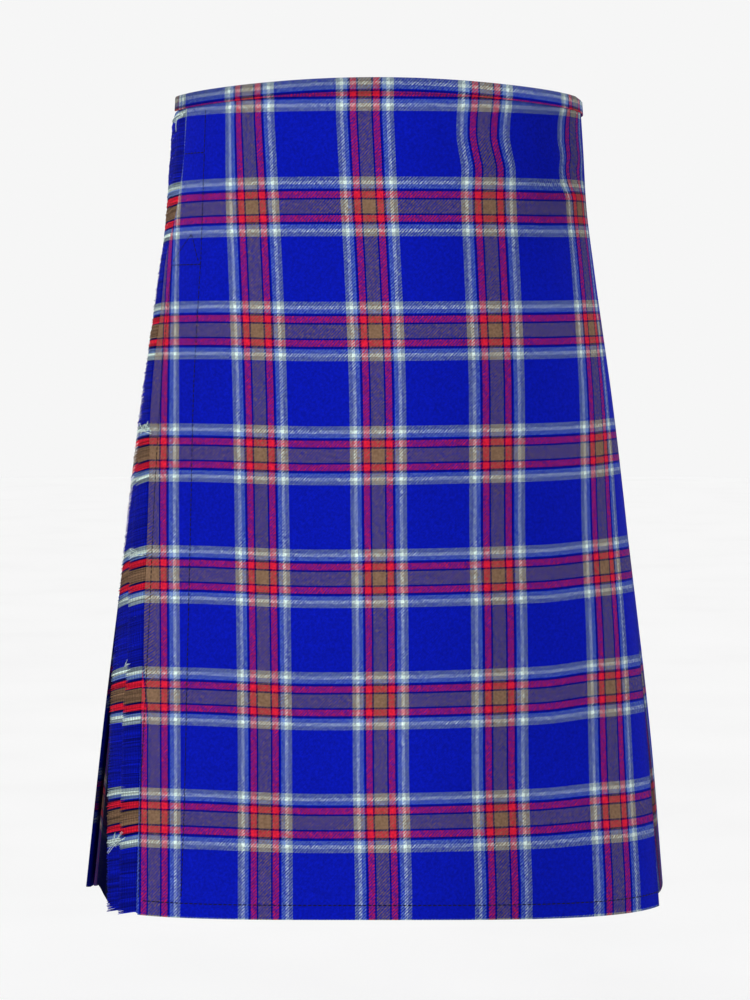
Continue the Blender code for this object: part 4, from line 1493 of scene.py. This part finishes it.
def soften(obj, width, sharp, smooth):
    """Rounds off the edges that turn by more than the angle sharp, in degrees."""
    bevel = obj.modifiers.new("soften", "BEVEL")
    bevel.width = width
    bevel.segments = 2
    bevel.limit_method = "ANGLE"
    bevel.angle_limit = math.radians(sharp)
    pick(obj)
    bpy.ops.object.modifier_apply(modifier="soften")
    smooth_below(smooth)


def trim_piece(obj, node, kind):
    """Dresses a piece of leather or metal, which stands in for its node."""
    look = strap_leather() if kind == "leather" else buckle_metal()
    dress(obj, node + "_" + kind, look)
    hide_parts(node)


def cut_holes(obj, holes):
    """Punches round holes, given as world places and directions."""
    for centre, along in holes:
        deselect()
        bpy.ops.mesh.primitive_cylinder_add(vertices=16, radius=HOLE_RADIUS, depth=0.008)
        punch = bpy.context.object
        punch.rotation_euler = (math.pi / 2, 0.0, math.atan2(along[0], -along[1]))
        punch.location = centre
        pick(obj)
        cut = obj.modifiers.new("hole", "BOOLEAN")
        cut.operation = "DIFFERENCE"
        cut.object = punch
        bpy.context.view_layer.update()
        bpy.ops.object.modifier_apply(modifier="hole")
        bpy.data.objects.remove(punch)


class KILT_OT_straps(Operator):
    """Makes the leather straps, with pointed tips, punched holes and sewn edges"""

    bl_idname = "kilt.straps"
    bl_label = "Straps"

    def execute(self, context):
        for item in FASTENINGS:
            bar = bar_of(item)
            depth = strap_depth(item, bar)
            start = (item.sewn_at - bar) * item.way
            run = np.append(np.arange(start, TIP_AT - STRAP_CLEAR, STRAP_STEP), TIP_AT)
            left = ramp(run, TIP_AT, -POINT_LENGTH)
            half = POINT_SHARE + (1 - POINT_SHARE) * np.sqrt(1 - (1 - left) ** 2)
            rows = np.linspace(-1, 1, STRAP_ROWS)[:, None]
            along = np.broadcast_to(bar + item.way * run, (STRAP_ROWS, len(run)))
            height = item.height + rows * STRAP_WIDTH / 2 * half
            crown = STRAP_CROWN * (1 - rows**4)
            out = depth(run)[None, :] + STRAP / 2 - 0.0002 + crown
            if item.way < 0:
                along, height, out = along[:, ::-1], height[:, ::-1], out[:, ::-1]
            name = "strap_" + item.name
            obj = cloth_piece(name + "_leather", along, out, height, 0.0, 0.0, STRAP)
            cut_holes(obj, [hole_at(item, bar + item.way * at, depth(at)) for at in HOLES])
            soften(obj, 0.00035, 50, 40)
            trim_piece(obj, name, "leather")
            edge = STRAP_WIDTH / 2 - SEWN_FROM_EDGE
            spans = ((0.001 + run[0], -0.003), (TAB_SEWN + 0.006, TIP_AT - POINT_LENGTH))
            lines = []
            for side in (-1, 1):
                for start, end in spans:
                    places = bar + item.way * shares(start, end, 40)
                    lines.append([(at, item.height + side * edge) for at in places])

            def on_strap(along, height):
                return depth((along - bar) * item.way) + STRAP + 0.00012

            stitch_piece(name + "_stitches", lines, on_strap, STRAP_STITCH)
        return {"FINISHED"}


def hole_at(item, along, depth):
    """A hole's middle and the way that it goes through the strap."""
    along, height = np.array(along), np.array(item.height)
    centre = place(along, depth + STRAP / 2, height)
    return centre, place(along, depth + 0.01, height) - centre


def solid_copy(node):
    """A node's own solid with its corners welded and its edges rounded off."""
    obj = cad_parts[node].copy()
    obj.data = obj.data.copy()
    bpy.context.scene.collection.objects.link(obj)
    obj.hide_render = False
    obj.hide_viewport = False
    for key in list(obj.keys()):
        del obj[key]
    obj.parent = None
    pick(obj)
    weld()
    bpy.ops.mesh.tris_convert_to_quads(
        face_threshold=math.radians(5), shape_threshold=math.radians(40)
    )
    bpy.ops.object.mode_set(mode="OBJECT")
    soften(obj, 0.0002, 55, 45)
    trim_piece(obj, node, "leather")


def weld():
    """Joins the points of the active object that lie together, and stays in edit mode."""
    bpy.ops.object.mode_set(mode="EDIT")
    bpy.ops.mesh.select_all(action="SELECT")
    bpy.ops.mesh.remove_doubles(threshold=WELD)


class KILT_OT_tabs(Operator):
    """Makes the leather tabs that hold the buckles, and the keepers between their layers"""

    bl_idname = "kilt.tabs"
    bl_label = "Buckle Tabs and Keepers"

    def execute(self, context):
        for item in FASTENINGS:
            solid_copy("tab_" + item.name)
            solid_copy("keeper_" + item.name)
        return {"FINISHED"}


def wire_piece(node, item, bar, path, radius, closed):
    """Metal wire along runs, heights from the strap's middle, and depths."""
    points = np.array(path)
    world = place(bar + item.way * points[:, 0], points[:, 2], item.height + points[:, 1])
    curve = bpy.data.curves.new(node, "CURVE")
    curve.dimensions = "3D"
    curve.bevel_depth = radius
    curve.bevel_resolution = 5
    curve.use_fill_caps = not closed
    spline = curve.splines.new("POLY")
    spline.points.add(len(world) - 1)
    for point, co in zip(spline.points, world):
        point.co = (*co, 1.0)
    spline.use_cyclic_u = closed
    pick(add_object(node + "_wire", curve))
    bpy.ops.object.convert(target="MESH")
    weld()
    bpy.ops.mesh.normals_make_consistent(inside=False)
    bpy.ops.object.mode_set(mode="OBJECT")
    smooth_below(50)
    trim_piece(bpy.context.object, node, "metal")


class KILT_OT_buckles(Operator):
    """Makes the buckles' frames and prongs"""

    bl_idname = "kilt.buckles"
    bl_label = "Buckles"

    def execute(self, context):
        for item in FASTENINGS:
            bar = bar_of(item)
            back = SEAM + TAB + SEAM + WIRE
            front = SEAM + STRAP + SEAM + WIRE
            path = []
            corners = ((1, 1, 0.0), (0, 1, 90.0), (0, -1, 180.0), (1, -1, 270.0))
            for at_back, side, start in corners:
                run = (FRAME_LENGTH - FRAME_CORNER) if at_back else FRAME_CORNER
                across = side * (FRAME_WIDTH / 2 - FRAME_CORNER)
                for step in range(9):
                    turn = math.radians(start + 11.25 * step)
                    at = run + FRAME_CORNER * math.cos(turn)
                    depth = front + (back - front) * at / FRAME_LENGTH
                    path.append((at, across + FRAME_CORNER * math.sin(turn), depth))
            wire_piece("frame_" + item.name, item, bar, path, WIRE, True)
            ring = WIRE + SEAM + PRONG
            hook = []
            for step in range(16):
                turn = math.radians(-60 + 10 * step)
                at = FRAME_LENGTH + ring * math.cos(turn)
                hook.append((at, 0.0, back + ring * math.sin(turn)))
            over = front + WIRE + SEAM + PRONG
            hook += [(PRONG_BEND, 0.0, over - SEAM), (0.0, 0.0, over), (-PRONG_END, 0.0, over)]
            wire_piece("prong_" + item.name, item, bar, hook, PRONG, False)
        return {"FINISHED"}


# Studio
FLOOR_HEIGHT = -0.900
FLOOR_RADIUS = 14.0
AIR = 0.922
LAMPS = (
    ("key", (-1.3, -2.3, 0.9), (62, 0, -28), 1.6, 1.0),
    ("fill", (1.6, -2.0, 0.2), (75, 0, 40), 1.8, 0.55),
)
CAMERA_LENS = 100.87
CAMERA_AIM = (-0.0008, -0.305)
CAMERA_DISTANCE = 2.150
CAMERA_RAISED = math.radians(3.0)


class KILT_OT_studio(Operator):
    """Makes the floor, the soft light and the camera"""

    bl_idname = "kilt.studio"
    bl_label = "Studio"

    def execute(self, context):
        settings = context.scene.kilt_studio
        deselect()
        bpy.ops.mesh.primitive_circle_add(
            vertices=96, radius=FLOOR_RADIUS, fill_type="NGON", location=(0, 0, FLOOR_HEIGHT)
        )
        floor = context.object
        floor.name = "floor"
        nodes = Nodes("floor_paint", 0.9, specular=0.1)
        grain = nodes.noise(nodes.object_places(), 3.0, 2.0)
        pale = settings.backdrop
        base = nodes.lit(nodes.ramp(grain, [(0.3, toned(pale, 0.985)), (0.7, pale)]))
        nodes.shader.inputs["Emission Color"].default_value = (1.0, 1.0, 1.0, 1.0)
        paint = nodes.finish(Base_Color=base, Emission_Strength=settings.glow)
        floor.data.materials.append(paint)
        world = bpy.data.worlds.new("studio")
        context.scene.world = world
        world.use_nodes = True
        air = world.node_tree.nodes["Background"]
        air.inputs["Color"].default_value = (AIR, AIR, AIR, 1.0)
        air.inputs["Strength"].default_value = 1.0
        for name, location, turn, width, share in LAMPS:
            lamp = bpy.data.lights.new(name, "AREA")
            lamp.size = width
            lamp.energy = settings.lamp * share
            obj = add_object(name, lamp)
            obj.location = location
            obj.rotation_euler = [math.radians(value) for value in turn]
        camera = bpy.data.cameras.new("camera")
        camera.sensor_width = 36.0
        camera.lens = CAMERA_LENS
        obj = add_object("camera", camera)
        across, height = CAMERA_AIM
        back = CAMERA_DISTANCE * math.cos(CAMERA_RAISED)
        obj.location = (across, -back, height + CAMERA_DISTANCE * math.sin(CAMERA_RAISED))
        obj.rotation_euler = (math.pi / 2 - CAMERA_RAISED, 0.0, 0.0)
        context.scene.camera = obj
        context.scene.view_settings.view_transform = "Standard"
        return {"FINISHED"}


PROPERTIES = (
    ("kilt_pattern", KiltPattern),
    ("kilt_cloth", KiltCloth),
    ("kilt_fringe", KiltFringe),
    ("kilt_trim", KiltTrim),
    ("kilt_studio", KiltStudio),
)
STEPS = (
    KILT_OT_studio,
    KILT_OT_fringes,
    KILT_OT_over_apron,
    KILT_OT_under_apron,
    KILT_OT_pleats,
    KILT_OT_waistband,
    KILT_OT_sewing,
    KILT_OT_loose_threads,
    KILT_OT_straps,
    KILT_OT_tabs,
    KILT_OT_buckles,
)


class KILT_PT_panel(Panel):
    """Lists the kilt's pieces"""

    bl_idname = "KILT_PT_panel"
    bl_label = "Wrapped Tartan Kilt"
    bl_space_type = "VIEW_3D"
    bl_region_type = "UI"
    bl_category = "Kilt"

    def draw(self, context):
        for step in STEPS:
            self.layout.operator(step.bl_idname)


def register():
    for name, group in PROPERTIES:
        bpy.utils.register_class(group)
        setattr(bpy.types.Scene, name, PointerProperty(type=group))
    for step in (*STEPS, KILT_PT_panel):
        bpy.utils.register_class(step)


def unregister():
    for step in reversed((*STEPS, KILT_PT_panel)):
        bpy.utils.unregister_class(step)
    for name, group in reversed(PROPERTIES):
        delattr(bpy.types.Scene, name)
        bpy.utils.unregister_class(group)


def main():
    register()
    for step in STEPS:
        group, name = step.bl_idname.split(".")
        getattr(getattr(bpy.ops, group), name)()


if __name__ == "__main__":
    main()
